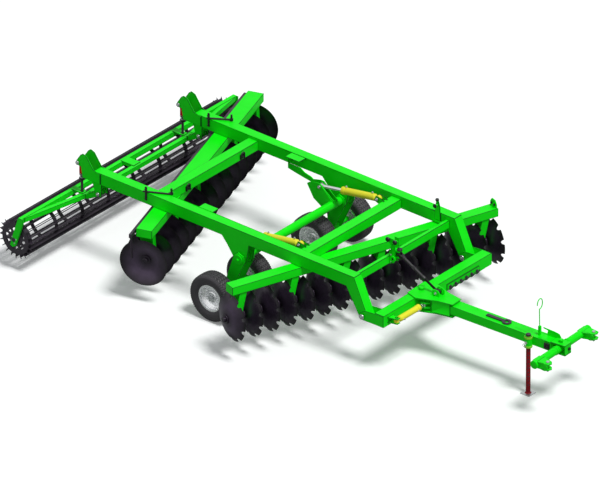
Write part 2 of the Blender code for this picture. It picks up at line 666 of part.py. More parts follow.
def lift_rams():
    for side, sign in (("left", 1), ("right", -1)):
        y = sign * LIFT_Y
        ram("lift_" + side, (LIFT_ANCHOR[0], y, LIFT_ANCHOR[1]), (LEVER_PIN[0], y, LEVER_PIN[1]),
            LIFT_BARREL_LONG, LIFT_BARREL_RADIUS, LIFT_ROD_RADIUS, 0.034)


def low_beam():
    back, wide, top, high, half = LOW_BEAM.values()
    pieces = [box((back, back + wide), (-half, half), (top - high, top))]
    pin_x, pin_z = TOW_PIN
    lug = [(pin_x - 0.045, pin_z - 0.03), (pin_x - 0.01, pin_z - 0.048),
           (back + 0.03, top - high + 0.004), (back + 0.03, top - 0.004),
           (pin_x + 0.03, top - 0.02), (pin_x - 0.045, pin_z + 0.03)]
    for sign in (1, -1):
        for inner in (BEAM_IN - GAP - PLATE, BEAM_OUT + GAP):
            pieces.append(prism(lug, "XZ", *spread(sign, inner, inner + PLATE)))
        pieces.append(box((back + 0.01, back + wide), spread(sign, half - 0.05, BEAM_OUT + GAP + PLATE),
                          (top - high + 0.002, top - 0.002)))
        near, far = spread(sign, BEAM_IN - PLATE - 0.02, BEAM_OUT + PLATE + 0.02)
        pieces.append(cylinder((pin_x, near, pin_z), (pin_x, far, pin_z), PIN_RADIUS))
    face = back + wide
    x, y = SWING_BASE
    for z in FORK_PLATES:
        pieces.append(prism([(face - 0.01, y - 0.06), (face - 0.01, y + 0.03),
                             (x + 0.035, y + 0.025), (x + 0.035, y - 0.03)], "XY",
                            SWING_Z + z, SWING_Z + z + PLATE))
    pieces.append(small_pin((x, y, SWING_Z - RAM_PIN_HALF), (x, y, SWING_Z + RAM_PIN_HALF)))
    pieces += side_rail(face)
    x, y = DRAWBAR_PIVOT
    bore = hole((x, y, top - high - 0.1), (x, y, top + 0.1), KING_PIN)
    fuse("low_beam", "green enamel", (TOW_PIN[0], 0, TOW_PIN[1]), pieces, [bore])


def side_rail(face):
    """Plate with a row of studs on the front of the low beam, for a shifted drawbar."""
    near, far, z, thick = SIDE_RAIL
    pieces = [box((face - 0.001, face + thick), (near, far), (z - 0.005, z + 0.075))]
    count = 6
    for number in range(count):
        y = near + 0.05 + number * (far - near - 0.1) / (count - 1)
        pieces.append(cylinder((face, y, z + 0.035), (face + thick + 0.022, y, z + 0.035), 0.014, 8))
    return pieces


def drawbar_frame():
    yaw = math.radians(DRAWBAR_YAW)
    along = Vector((math.cos(yaw), math.sin(yaw), 0))
    return Vector((*DRAWBAR_PIVOT, 0)), along, Vector((-along.y, along.x, 0))


def drawbar_point(along, across=0.0, height=0.0):
    base, line, side = drawbar_frame()
    return base + along * line + across * side + Vector((0, 0, height))


def head_plate(low, high):
    points = [drawbar_point(a, b) for a, b in HEAD_PLATE]
    points += [drawbar_point(a, -b) for a, b in HEAD_PLATE[::-1]]
    return prism([(p.x, p.y) for p in points], "XY", low, high)


def drawbar():
    top = LOW_BEAM["top"] + GAP
    bottom = LOW_BEAM["top"] - LOW_BEAM["high"] - GAP
    middle = DRAWBAR_TOP - DRAWBAR_HIGH / 2
    pieces = [bar(drawbar_point(DRAWBAR_START, 0, middle),
                  drawbar_point(HITCH_AT - 0.075, 0, middle), DRAWBAR_WIDE, DRAWBAR_HIGH),
              head_plate(top, top + PLATE), head_plate(bottom - PLATE, bottom)]
    pieces.append(cylinder((*DRAWBAR_PIVOT, bottom - 0.03), (*DRAWBAR_PIVOT, top + 0.03), KING_PIN))
    level, tall = (top + bottom) / 2, top - bottom + 0.01
    for sign in (-1, 1):
        ends = [drawbar_point(a, sign * b, level) for a, b in HEAD_CHEEK]
        pieces.append(bar(*ends, PLATE, tall))
    along, half = HEAD_WEB
    pieces.append(bar(drawbar_point(along, -half, level), drawbar_point(along, half, level), PLATE,
                      tall))
    x, z = TURNBUCKLE_LOW
    for sign in (-1, 1):
        low, high = sorted((MAST_Y + sign * CLEVIS_HALF, MAST_Y + sign * (CLEVIS_HALF + PLATE)))
        pieces.append(prism([(x - 0.05, top + 0.002), (x + 0.05, top + 0.002), (x + 0.03, z + 0.03),
                             (x - 0.03, z + 0.03)], "XZ", low, high))
        pieces.append(small_pin((x, MAST_Y + sign * (CLEVIS_HALF + 0.002), z),
                                (x, MAST_Y + sign * (CLEVIS_HALF + 0.026), z)))
    x, y = SWING_END
    for z in FORK_PLATES:
        pieces.append(prism([(x - 0.025, y - 0.03), (x + 0.025, y - 0.03), (x + 0.085, y + 0.03),
                             (x + 0.075, y + 0.09), (x - 0.03, y + 0.02)], "XY",
                            SWING_Z + z, SWING_Z + z + PLATE))
    for head in (-RAM_PIN_HALF, RAM_PIN_HALF - 0.017):
        pieces.append(small_pin((x, y, SWING_Z + head), (x, y, SWING_Z + head + 0.017)))
    clear = HITCH_RADIUS + FORK_CLEAR
    for low in (middle + clear, middle - clear - PLATE):
        points = [drawbar_point(DRAWBAR_LONG + a, b) for a, b in
                  ((-0.16, -0.075), (0.04, -0.06), (0.04, 0.06), (-0.16, 0.075))]
        pieces.append(prism([(p.x, p.y) for p in points], "XY", low, low + PLATE))
    pin = drawbar_point(HITCH_AT)
    pieces.append(cylinder((pin.x, pin.y, middle - 0.09), (pin.x, pin.y, middle + 0.09),
                           PIN_RADIUS))
    collar, bore = sleeve_pieces(middle)
    fuse("drawbar", "green enamel", (*DRAWBAR_PIVOT, middle), pieces + collar, bore)


def sleeve_pieces(middle):
    """Jack sleeve on the near side of the tube, with its bore."""
    centre = drawbar_point(JACK_AT, -DRAWBAR_WIDE / 2 - JACK_RADIUS - JACK_CLEAR)
    low, high = middle - SLEEVE_HALF, middle + SLEEVE_HALF
    outer = cylinder((centre.x, centre.y, low), (centre.x, centre.y, high), JACK_RADIUS + JACK_WALL)
    bore = hole((centre.x, centre.y, low - 0.3), (centre.x, centre.y, high + 0.3), JACK_RADIUS)
    return [outer], [bore]


def jack():
    middle = DRAWBAR_TOP - DRAWBAR_HIGH / 2
    centre = drawbar_point(JACK_AT, -DRAWBAR_WIDE / 2 - JACK_RADIUS - JACK_CLEAR)
    x, y = centre.x, centre.y
    half, thick = JACK_FOOT
    leg = cylinder((x, y, thick - 0.002), (x, y, middle + SLEEVE_HALF + 0.025), JACK_RADIUS)
    foot = box((x - half, x + half), (y - half, y + half), (0, thick))
    fuse("jack_leg", "red enamel", (x, y, middle), [leg, foot])


def hitch():
    middle = DRAWBAR_TOP - DRAWBAR_HIGH / 2
    base, line, side = drawbar_frame()
    centre = drawbar_point(HITCH_AT, 0, middle)
    pieces = [cylinder(centre - side * HITCH_HALF, centre + side * HITCH_HALF, HITCH_RADIUS)]
    for sign in (1, -1):
        for height in EAR_HEIGHTS:
            outline = [(-0.04, sign * (HITCH_HALF - 0.16)), (0.04, sign * (HITCH_HALF - 0.17)),
                       (0.16, sign * (HITCH_HALF - 0.13)), (0.19, sign * (HITCH_HALF - 0.09)),
                       (0.17, sign * (HITCH_HALF - 0.04)), (0.04, sign * (HITCH_HALF - 0.02)),
                       (-0.04, sign * (HITCH_HALF - 0.03))]
            points = [drawbar_point(HITCH_AT + a, b) for a, b in outline]
            pieces.append(prism([(p.x, p.y) for p in points], "XY", middle + height,
                                middle + height + PLATE))
        pin = drawbar_point(HITCH_AT + HITCH_PIN_AT[0], sign * (HITCH_HALF - HITCH_PIN_AT[1]), middle)
        reach = Vector((0, 0, 0.055))
        pieces.append(cylinder(pin - reach, pin + reach, HITCH_PIN, PIN_SIDES))
    bore = hole(centre - Vector((0, 0, 0.1)), centre + Vector((0, 0, 0.1)), PIN_RADIUS)
    fuse("hitch_crossbar", "green enamel", centre, pieces, [bore])


def turnbuckle():
    """The top link: its cross turns upright in the mast, and its barrel turns level on that."""
    x, z = TURNBUCKLE_TOP
    top, low = Vector((x, MAST_Y, z)), Vector((TURNBUCKLE_LOW[0], MAST_Y, TURNBUCKLE_LOW[1]))
    line, level, upright = (low - top).normalized(), Vector((0, 1, 0)), Vector((0, 0, 1))
    pieces = [box((x - 0.014, x + 0.014), (MAST_Y - 0.014, MAST_Y + 0.014), (z - 0.018, z + 0.018)),
              cylinder(top - upright * (CROSS_HALF + 0.018), top + upright * (CROSS_HALF + 0.018),
                       CROSS_PIN, PIN_SIDES),
              cylinder(top - level * 0.034, top + level * 0.034, CROSS_PIN, PIN_SIDES)]
    fuse("turnbuckle_cross", "black steel", top, pieces)
    radius, rod_radius, long, crown = 0.024, 0.015, 0.42, 0.030
    inner = wall_radius(rod_radius, 12)
    pieces = [lathe([(crown + 0.01, 0), (crown + 0.01, radius), (long, radius), (long, inner),
                     (crown + 0.04, inner), (crown + 0.04, 0)], top, line, 12),
              bar(top + line * crown, top + line * (crown + 0.02), 0.060, 0.036)]
    for sign in (-1, 1):
        inside, outside = top + sign * level * 0.0175, top + sign * level * 0.0295
        pieces.append(cylinder(inside, outside, 0.022))
        shift = sign * level * 0.0235
        pieces.append(bar(top + shift, top + shift + line * (crown + 0.01), PLATE - 0.001, 0.034))
    bore = hole(top - level * 0.05, top + level * 0.05, CROSS_PIN, PIN_SIDES)
    fuse("turnbuckle_barrel", "black steel", top, pieces, [bore])
    eye = 0.030
    pieces = [cylinder(top + line * (long - 0.12), low - line * eye * 0.8, rod_radius, 12,
                       math.pi / 12),
              cylinder(low - level * 0.018, low + level * 0.018, eye)]
    fuse("turnbuckle_rod", "black steel", low, pieces)


def swing_ram():
    ram("swing", (*SWING_BASE, SWING_Z), (*SWING_END, SWING_Z), 0.40, 0.036, 0.020, 0.030)


def hose_holder():
    """Post with a wire loop that carries the hoses."""
    base = drawbar_point(HOLDER_AT)
    z = DRAWBAR_TOP + GAP
    radius, post = HOLDER_POST
    wide, high, up = HOLDER_RING
    pieces = [cylinder((base.x, base.y, z), (base.x, base.y, z + post), radius)]
    ring = Vector((base.x, base.y, z + up))
    count = 12
    loop = [Vector((base.x, base.y, z + post - 0.02))]
    for step in range(count):
        angle = -math.pi / 2 + (step - 0.2) * 1.72 * math.pi / (count - 1)
        loop.append(ring + Vector((0, wide * math.cos(angle), high * math.sin(angle))))
    pieces.append(tube(loop, HOLDER_WIRE))
    fuse("hose_holder", "green enamel", (base.x, base.y, z), pieces)


def wrench():
    """Ring wrench for the turnbuckle, carried flat on the drawbar."""
    z = DRAWBAR_TOP + GAP
    head = drawbar_point(WRENCH_AT, 0, z)
    tail = drawbar_point(WRENCH_AT - WRENCH_LONG, 0, z)
    lift = Vector((0, 0, WRENCH_THICK / 2))
    inner, outer = 0.024, 0.055
    pieces = [bar(tail + lift, head + lift - drawbar_frame()[1] * 0.03, 0.045, WRENCH_THICK),
              lathe([(0, inner), (0, outer), (WRENCH_THICK, outer), (WRENCH_THICK, inner)], head,
                    (0, 0, 1), 16)]
    fuse("wrench", "black steel", head, pieces)


def roller_frame():
    half = FRAME_TUBE / 2
    reach = ROLLER_HALF + 0.020
    middle = Vector((0, ROLLER_SIDE, 0))
    pieces = [bar(middle + Vector((REAR_TUBE_X, -reach, TUBE_Z)),
                  middle + Vector((REAR_TUBE_X, reach, TUBE_Z)), FRAME_TUBE, FRAME_TUBE),
              bar(middle + Vector((FRONT_TUBE_X, -FRONT_TUBE_HALF, TUBE_Z)),
                  middle + Vector((FRONT_TUBE_X, FRONT_TUBE_HALF, TUBE_Z)), FRAME_TUBE, FRAME_TUBE)]
    holes = []
    x, z = ROLLER
    for sign in (1, -1):
        bend = middle + Vector((FRONT_TUBE_X, sign * (FRONT_TUBE_HALF - 0.02), TUBE_Z + 0.0005))
        end = middle + Vector((REAR_TUBE_X + 0.01, sign * (reach - 0.04), TUBE_Z + 0.0005))
        pieces.append(bar(bend, end, FRAME_TUBE * 0.98, FRAME_TUBE * 0.98))
        front = REAR_TUBE_X + half + 0.02
        arm = [(x - 0.055, z - 0.08), (x - 0.01, z - 0.10), (x + 0.035, z - 0.07),
               (front, TUBE_Z - half), (front, TUBE_Z + half), (REAR_TUBE_X - half, TUBE_Z + half)]
        low, high = spread(sign, reach - 0.002, reach + PLATE)
        pieces.append(prism(arm, "XZ", low + ROLLER_SIDE, high + ROLLER_SIDE))
        holes.append(hole((x, low - 0.05 + ROLLER_SIDE, z), (x, high + 0.05 + ROLLER_SIDE, z),
                          STUB_RADIUS, 20))
        pin_x, pin_z = ROLLER_PIVOT
        lug = [(FRONT_TUBE_X - 0.01, TUBE_Z - 0.02), (FRONT_TUBE_X + 0.04, TUBE_Z - 0.022),
               (pin_x + 0.01, pin_z - 0.035), (pin_x + 0.035, pin_z), (pin_x, pin_z + 0.035),
               (FRONT_TUBE_X - 0.01, TUBE_Z + 0.02)]
        for offset in (-0.030, 0.018):
            y = sign * BEAM_Y + offset
            pieces.append(prism(lug, "XZ", y, y + PLATE))
        holes.append(hole((pin_x, sign * BEAM_Y - 0.05, pin_z), (pin_x, sign * BEAM_Y + 0.05, pin_z),
                          SMALL_PIN, PIN_SIDES))
        pieces.append(box((REAR_TUBE_X, STRUT_TOP[0] + 0.045),
                          (sign * BEAM_Y - 0.04, sign * BEAM_Y + 0.04),
                          (TUBE_Z + half - 0.012, TUBE_Z + half + 0.004)))
        holes.append(cylinder((STRUT_TOP[0], sign * BEAM_Y, TUBE_Z - 0.1),
                              (STRUT_TOP[0], sign * BEAM_Y, TUBE_Z + 0.1), 0.021))
    pieces.append(box((REAR_TUBE_X, FRONT_TUBE_X), (-0.06, 0.06),
                      (TUBE_Z - 0.006, TUBE_Z + half + 0.006)))
    fuse("roller_frame", "green enamel", (ROLLER_PIVOT[0], 0, ROLLER_PIVOT[1]), pieces, holes)


def roller():
    """Cage roller: bars and rings share one wall, with square openings between them."""
    angles, ring_ends = [], []
    step = 2 * math.pi / ROLLER_BARS
    for number in range(ROLLER_BARS):
        angles += [number * step, number * step + 0.22 * step]
    gap = (2 * ROLLER_HALF - ROLLER_RING_WIDE) / (ROLLER_RINGS - 1)
    for number in range(ROLLER_RINGS):
        start = ROLLER_SIDE - ROLLER_HALF + number * gap
        ring_ends += [start, start + ROLLER_RING_WIDE]
    x, z = ROLLER
    vertices, faces = [], []
    columns = len(angles)

    def index(level, row, column):
        return (level * len(ring_ends) + row) * columns + column % columns

    for level in (0, 1):
        for row, y in enumerate(ring_ends):
            for column, angle in enumerate(angles):
                outer = ROLLER_TOOTH if row in (0, len(ring_ends) - 1) else ROLLER_RADIUS
                radius = outer if level else ROLLER_RADIUS - ROLLER_WALL
                inset = 0 if level else ROLLER_CAP * ((row == 0) - (row == len(ring_ends) - 1))
                vertices.append((x + radius * math.cos(angle), y + inset,
                                 z + radius * math.sin(angle)))
    rows = len(ring_ends)

    def filled(row, column):
        return 0 <= row < rows - 1 and (row % 2 == 0 or column % 2 == 0)

    for row in range(rows - 1):
        for column in range(columns):
            if not filled(row, column):
                continue
            for level in (0, 1):
                faces.append((index(level, row, column), index(level, row + 1, column),
                              index(level, row + 1, column + 1), index(level, row, column + 1)))
            near, far = (row, column), (row + 1, column)
            near_after, far_after = (row, column + 1), (row + 1, column + 1)
            for other, a, b in ((filled(row, (column - 1) % columns), near, far),
                                (filled(row, (column + 1) % columns), near_after, far_after),
                                (filled(row - 1, column) or row == 0, near, near_after),
                                (filled(row + 1, column) or row == rows - 2, far, far_after)):
                if not other:
                    faces.append((index(0, *a), index(0, *b), index(1, *b), index(1, *a)))
    for row, sign in ((0, -1), (rows - 1, 1)):
        y = ring_ends[row]
        shaft = len(vertices)
        for along in (y, y + sign * ROLLER_STUB):
            for angle in angles:
                vertices.append((x + STUB_RADIUS * math.cos(angle), along,
                                 z + STUB_RADIUS * math.sin(angle)))
        tip, inside = len(vertices), len(vertices) + 1
        vertices.append((x, y + sign * ROLLER_STUB, z))
        vertices.append((x, y - sign * ROLLER_CAP, z))
        for column in range(columns):
            after = (column + 1) % columns
            faces.append((index(1, row, column), index(1, row, after), shaft + after, shaft + column))
            faces.append((shaft + column, shaft + after, shaft + columns + after,
                          shaft + columns + column))
            faces.append((shaft + columns + column, shaft + columns + after, tip))
            faces.append((index(0, row, column), index(0, row, after), inside))
    made = solid(vertices, faces)
    fuse("roller", "black steel", (x, ROLLER_SIDE, z), [made])


def struts():
    for side, sign in (("left", 1), ("right", -1)):
        x, z = STRUT_TOP
        y = sign * BEAM_Y
        foot = TUBE_Z - 0.045
        long = z - 0.02 - foot
        low, high, wide = SEAT
        eye = cylinder((x, y - 0.02, z), (x, y + 0.02, z), STRUT_EYE)
        stem = lathe([(0, 0), (0, STRUT_ROD), (low, STRUT_ROD), (low, wide), (high, wide),
                      (high, STRUT_ROD), (long, STRUT_ROD), (long, 0)], (x, y, foot), (0, 0, 1), 12)
        bore = hole((x, y - 0.04, z), (x, y + 0.04, z), SMALL_PIN, PIN_SIDES)
        fuse("strut_rod_" + side, "black steel", (x, y, z), [stem, eye], [bore])
        wall = wall_radius(STRUT_ROD, 12)
        below, tall, wide = SPRING
        spring = lathe([(0, wall), (0, wide), (tall, wide), (tall, wall)], (x, y, z + below),
                       (0, 0, 1), 16)
        fuse("strut_spring_" + side, "red enamel", (x, y, z), [spring])


def stand_on_floor():
    """Put the origin on the floor under the middle of the whole machine."""
    graph = bpy.context.evaluated_depsgraph_get()
    corners = [item.matrix_world @ Vector(c) for item in bpy.data.objects if item.type == "MESH"
               for c in item.evaluated_get(graph).bound_box]
    low = [min(c[i] for c in corners) for i in range(3)]
    high = [max(c[i] for c in corners) for i in range(3)]
    root = bpy.data.objects.new("disc_harrow", None)
    bpy.context.scene.collection.objects.link(root)
    for item in bpy.data.objects:
        if item.type == "MESH":
            item.parent = root
    root.location = (-(low[0] + high[0]) / 2, -(low[1] + high[1]) / 2, -low[2])
    return root


def build():
    clear_scene()
    left_right(main_beam)
    cross_beams()
    mast()
    gang_beam("front_gang_beam", FRONT_GANG)
    gang_beam("rear_gang_beam", REAR_GANG)
    for shaft, side in enumerate(("right", "left")):
        disc_gang("front_discs_" + side, FRONT_GANG, shaft, True)
        disc_gang("rear_discs_" + side, REAR_GANG, shaft, False)
    scraper_bar()
    rockshaft()
    wheels()
    lift_rams()
    low_beam()
    drawbar()
    jack()
    hitch()
    turnbuckle()
    swing_ram()
    hose_holder()
    wrench()
    roller_frame()
    roller()
    struts()
    bpy.context.view_layer.update()
    stand_on_floor()


build()
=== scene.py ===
"""A trailed offset disc harrow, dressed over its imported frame.

Places are in metres in the row frame: X forwards to the hitch, Y to the left, Z up, floor at 0.
Turned profiles, plate outlines and bolts are in millimetres, as on a workshop drawing.
"""
import json
import math

import bmesh
import bpy
import numpy as np
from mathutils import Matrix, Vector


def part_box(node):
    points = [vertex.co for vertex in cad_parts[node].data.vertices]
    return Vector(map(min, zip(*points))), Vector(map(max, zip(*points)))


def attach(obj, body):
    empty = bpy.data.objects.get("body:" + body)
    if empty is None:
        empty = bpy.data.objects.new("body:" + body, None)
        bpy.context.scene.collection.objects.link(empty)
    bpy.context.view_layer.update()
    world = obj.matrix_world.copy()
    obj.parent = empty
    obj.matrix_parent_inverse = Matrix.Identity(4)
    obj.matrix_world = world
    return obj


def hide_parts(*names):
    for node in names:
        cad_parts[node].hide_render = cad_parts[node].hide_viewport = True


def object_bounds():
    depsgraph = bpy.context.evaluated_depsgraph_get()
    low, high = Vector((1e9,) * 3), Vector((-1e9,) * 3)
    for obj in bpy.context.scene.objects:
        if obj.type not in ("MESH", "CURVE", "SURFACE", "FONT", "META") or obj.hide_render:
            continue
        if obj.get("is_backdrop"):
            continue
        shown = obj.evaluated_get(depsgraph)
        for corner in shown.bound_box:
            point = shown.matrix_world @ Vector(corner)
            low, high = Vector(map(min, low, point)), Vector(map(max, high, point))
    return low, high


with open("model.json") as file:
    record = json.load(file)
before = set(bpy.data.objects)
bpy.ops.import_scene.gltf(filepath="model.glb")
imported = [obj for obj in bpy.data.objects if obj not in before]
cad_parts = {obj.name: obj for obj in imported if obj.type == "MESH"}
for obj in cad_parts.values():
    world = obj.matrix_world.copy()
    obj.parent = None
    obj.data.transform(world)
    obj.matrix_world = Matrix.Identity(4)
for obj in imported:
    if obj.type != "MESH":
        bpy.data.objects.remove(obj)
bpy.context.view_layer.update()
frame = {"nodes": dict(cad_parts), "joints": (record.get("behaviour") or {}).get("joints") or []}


# ---- Floor, light and camera -------------------------------------------------------------
# The harrow stands parked on a plain pale floor under a wide soft key light.  The camera looks
# from the front right corner, through a lens so long that parallel beams stay parallel.
PHOTO_WIDE = 599
SCALE = 0.0114                       # metres of the harrow in one pixel of the picture
AZIMUTH, ELEVATION = math.radians(39.94), math.radians(29.3)
LENS, SENSOR = 1400.0, 36.0
FLOOR_REACH = 90.0
CROSS_BEAM_FROM_REAR = 3.727

beam_low, beam_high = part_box("front_cross_beam")
harrow = np.array([beam_low[0] - CROSS_BEAM_FROM_REAR, (beam_low[1] + beam_high[1]) / 2, 0.0])


def at(x, y, z):
    """A point measured from the floor under the rear end and middle line of the main beams."""
    return harrow + (x, y, z)


def linear(code):
    """The linear RGBA of an sRGB hex colour."""
    value = np.array([int(code[i:i + 2], 16) for i in (1, 3, 5)]) / 255.0
    value = np.where(value <= 0.04045, value / 12.92, ((value + 0.055) / 1.055) ** 2.4)
    return (*value.tolist(), 1.0)


def node(tree, kind, links=None, **settings):
    """Add a shader node; links gives its inputs: a node, one of its outputs, a value or a colour."""
    made = tree.nodes.new("ShaderNode" + kind)
    for key, value in settings.items():
        setattr(made, key, value)
    for key, value in (links or {}).items():
        if isinstance(value, bpy.types.Node):
            value = value.outputs[0]
        if isinstance(value, bpy.types.NodeSocket):
            tree.links.new(value, made.inputs[key])
        else:
            made.inputs[key].default_value = linear(value) if isinstance(value, str) else value
    return made


def emptied(owner):
    """The node tree of a new material or world, without its default nodes."""
    owner.use_nodes = True
    owner.node_tree.nodes.clear()
    return owner.node_tree


def placed(name, data):
    """An object for a mesh, lamp or camera, standing at the origin of the scene."""
    made = bpy.data.objects.new(name, data)
    bpy.context.scene.collection.objects.link(made)
    return made


# The floor's matt paint is white to the camera, and a mid grey where it throws light back up.
floor_paint = bpy.data.materials.new("matt_white_floor")
tree = emptied(floor_paint)
ray = node(tree, "LightPath")
dim = node(tree, "BsdfDiffuse", {"Color": "#A0A4A0"})
matt = node(tree, "BsdfDiffuse", {"Color": "#F7F8F7"})
glow = node(tree, "Emission", {"Color": "#FFFFFF", "Strength": 0.16})
both = node(tree, "AddShader", {0: matt, 1: glow})
seen = node(tree, "MixShader", {0: ray.outputs["Is Camera Ray"], 1: dim, 2: both})
node(tree, "OutputMaterial", {"Surface": seen})
mesh = bpy.data.meshes.new("floor")
corners = FLOOR_REACH * np.array([(-1, -1, 0), (1, -1, 0), (1, 1, 0), (-1, 1, 0)])
mesh.from_pydata(corners.tolist(), [], [(0, 1, 2, 3)])
mesh.materials.append(floor_paint)
placed("floor", mesh)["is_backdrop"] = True

world = bpy.data.worlds.new("studio")
tree = emptied(world)
ray = node(tree, "LightPath")
soft = node(tree, "Background", {"Color": "#F4F8FF", "Strength": 0.27})
white = node(tree, "Background", {"Color": "#FFFFFF", "Strength": 1.0})
open_sky = node(tree, "Math", {0: ray.outputs["Is Camera Ray"], 1: ray.outputs["Is Glossy Ray"]},
                operation="MAXIMUM")
mix = node(tree, "MixShader", {0: open_sky, 1: soft, 2: white})
node(tree, "OutputWorld", {"Surface": mix})
bpy.context.scene.world = world

for name, strength, spread, (x, y, z) in (("key", 2.55, 16, (-0.42, 0.02, -0.91)),
                                          ("fill", 0.12, 60, (0.30, 0.75, -0.45))):
    lamp = bpy.data.lights.new(name, "SUN")
    lamp.energy, lamp.angle = strength, math.radians(spread)
    placed(name, lamp).rotation_euler = (math.atan2(math.hypot(x, y), -z), 0,
                                         math.atan2(y, x) - math.pi / 2)

back = np.array([math.sin(AZIMUTH) * math.cos(ELEVATION), -math.cos(AZIMUTH) * math.cos(ELEVATION),
                 math.sin(ELEVATION)])
lens = bpy.data.cameras.new("camera")
lens.lens, lens.sensor_width, lens.clip_start, lens.clip_end = LENS, SENSOR, 1.0, 900.0
camera = placed("camera", lens)
camera.location = at(1.7185, 0.6378, -0.0056) + back * (PHOTO_WIDE * SCALE * LENS / SENSOR)
camera.rotation_euler = (math.pi / 2 - ELEVATION, 0, AZIMUTH)
bpy.context.scene.camera = camera
bpy.context.scene.view_settings.view_transform = "Standard"


# ---- Main beams, cross beams and mast ----------------------------------------------------
# Welded rectangular tube, powder coated in bright green enamel.  The paint gives a smooth sheet
# of colour with a faint orange peel and slightly rubbed, duller patches.
def enamel(name, slot, colour, dull=0.34, mottle=0.05):
    """Powder coat and its slot: one hue, with clouds of 300 mm in its value, rubbed patches of
    70 mm, and an orange peel of 6 mm, coarser than the real one so that it shows."""
    made = bpy.data.materials.new(name)
    tree = emptied(made)
    place = node(tree, "TexCoord").outputs["Object"]
    cloud = node(tree, "TexNoise", {"Vector": place, "Scale": 3.2, "Detail": 5.0, "Roughness": 0.6})
    value = node(tree, "MapRange", {"Value": cloud, "From Min": 0.3, "From Max": 0.7,
                                    "To Min": 1 - mottle, "To Max": 1 + mottle})
    tint = node(tree, "HueSaturation", {"Value": value, "Color": colour})
    rub = node(tree, "TexNoise", {"Vector": place, "Scale": 14.0, "Detail": 6.0, "Roughness": 0.7})
    rough = node(tree, "MapRange", {"Value": rub, "From Min": 0.25, "From Max": 0.75,
                                    "To Min": dull - 0.07, "To Max": dull + 0.12})
    peel = node(tree, "TexNoise", {"Vector": place, "Scale": 160.0, "Detail": 1.0})
    bump = node(tree, "Bump", {"Height": peel, "Strength": 0.06, "Distance": 0.002})
    coat = node(tree, "BsdfPrincipled", {"Base Color": tint, "Roughness": rough, "Normal": bump,
                                         "IOR": 1.5, "Specular IOR Level": 0.13})
    node(tree, "OutputMaterial", {"Surface": coat})
    return made, slot


green = enamel("green_powder_coat", "green_enamel", "#10F015")
# A darker green for the rounded edges of the frame: painted shade along every edge.
painted_edge_shade = enamel("green_paint_with_painted_edge_shade", "green_enamel", "#0A5A14", 0.45, 0.12)


def dress(names, finish, rounding, edge_shade_finish=None):
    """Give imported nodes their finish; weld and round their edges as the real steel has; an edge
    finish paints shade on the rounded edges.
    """
    for name in names:
        item = frame["nodes"][name]
        item.data.materials.clear()
        item.data.materials.append(finish[0])
        if edge_shade_finish:
            item.data.materials.append(edge_shade_finish[0])
        weld = item.modifiers.new("weld", "WELD")
        weld.merge_threshold = 0.00002
        edge = item.modifiers.new("edge", "BEVEL")
        edge.width, edge.segments, edge.use_clamp_overlap = rounding, 2, False
        edge.limit_method, edge.angle_limit = "ANGLE", math.radians(40)
        edge.material = 1 if edge_shade_finish else -1


dress(["main_beam_left", "main_beam_right", "rear_cross_beam", "middle_cross_beam",
       "front_cross_beam"], green, 0.006, painted_edge_shade)
dress(["mast"], green, 0.002, painted_edge_shade)


# ---- Gang beams and hangers --------------------------------------------------------------
# Each gang hangs from an angled rectangular tube on tapered plate legs with cast bearing
# housings, painted with the frame.
dress(["front_gang_beam", "rear_gang_beam"], green, 0.005, painted_edge_shade)


# ---- Discs -------------------------------------------------------------------------------
# Hot-pressed boron steel discs on a square bolt, with cast spools between them.  The front
# ones are notched, the rear ones plain; both have a ground edge and an oiled dark skin.
PITCH = 0.230
DISC_RADIUS, DISC_DEPTH, DISC_THICK, EDGE_HALF = 0.290, 0.085, 0.006, 0.0006
HUB, BORE = 0.042, 0.0336
joints = {joint["name"]: joint for joint in frame["joints"]}


def pivot(name):
    """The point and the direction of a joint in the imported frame."""
    return np.array(joints[name]["pos_m"]), np.array(joints[name]["axis"])


def solid_of(rings, closed=False):
    """A closed body from rings of points (rows, columns, 3), as its points, its quads and its
    flat ends; where closed is set, quads lead from the last ring back to the first instead."""
    rows, columns = rings.shape[:2]
    index = np.arange((rows + closed) * columns).reshape(-1, columns) % (rows * columns)
    after = np.roll(index, -1, axis=1)
    quads = np.stack([index[:-1], after[:-1], after[1:], index[1:]], axis=-1).reshape(-1, 4)
    ends = index[:0] if closed else np.stack([index[0, ::-1], index[-1]])
    return rings.reshape(-1, 3), quads, ends


def spokes(axis, sides):
    """The unit axis, the angles of even steps about it, and the unit vector out at each of them;
    the first is as level as it can be."""
    axis = np.asarray(axis, float) / np.linalg.norm(axis)
    first = np.cross((0, 0, 1), axis) if abs(axis[2]) < 0.9 else np.array([1.0, 0, 0])
    first = first / np.linalg.norm(first)
    angle = np.arange(sides) * 2 * np.pi / sides
    return axis, angle, (np.cos(angle)[:, None] * first
                         + np.sin(angle)[:, None] * np.cross(axis, first))


def turned(profile, base, axis, sides=32, reach=np.ones_like, closed=False):
    """Revolve (along, radius) points about an axis; reach(angle) scales the radii."""
    axis, angle, out = spokes(axis, sides)
    along, radius = np.array(profile, float).T[..., None] / 1000
    radius = radius * reach(angle)
    return solid_of(base + along[..., None] * axis + radius[..., None] * out, closed)


def mirrored(half):
    """A profile that is the same towards both ends, from its outer half."""
    return [(-along, radius) for along, radius in half] + half[::-1]


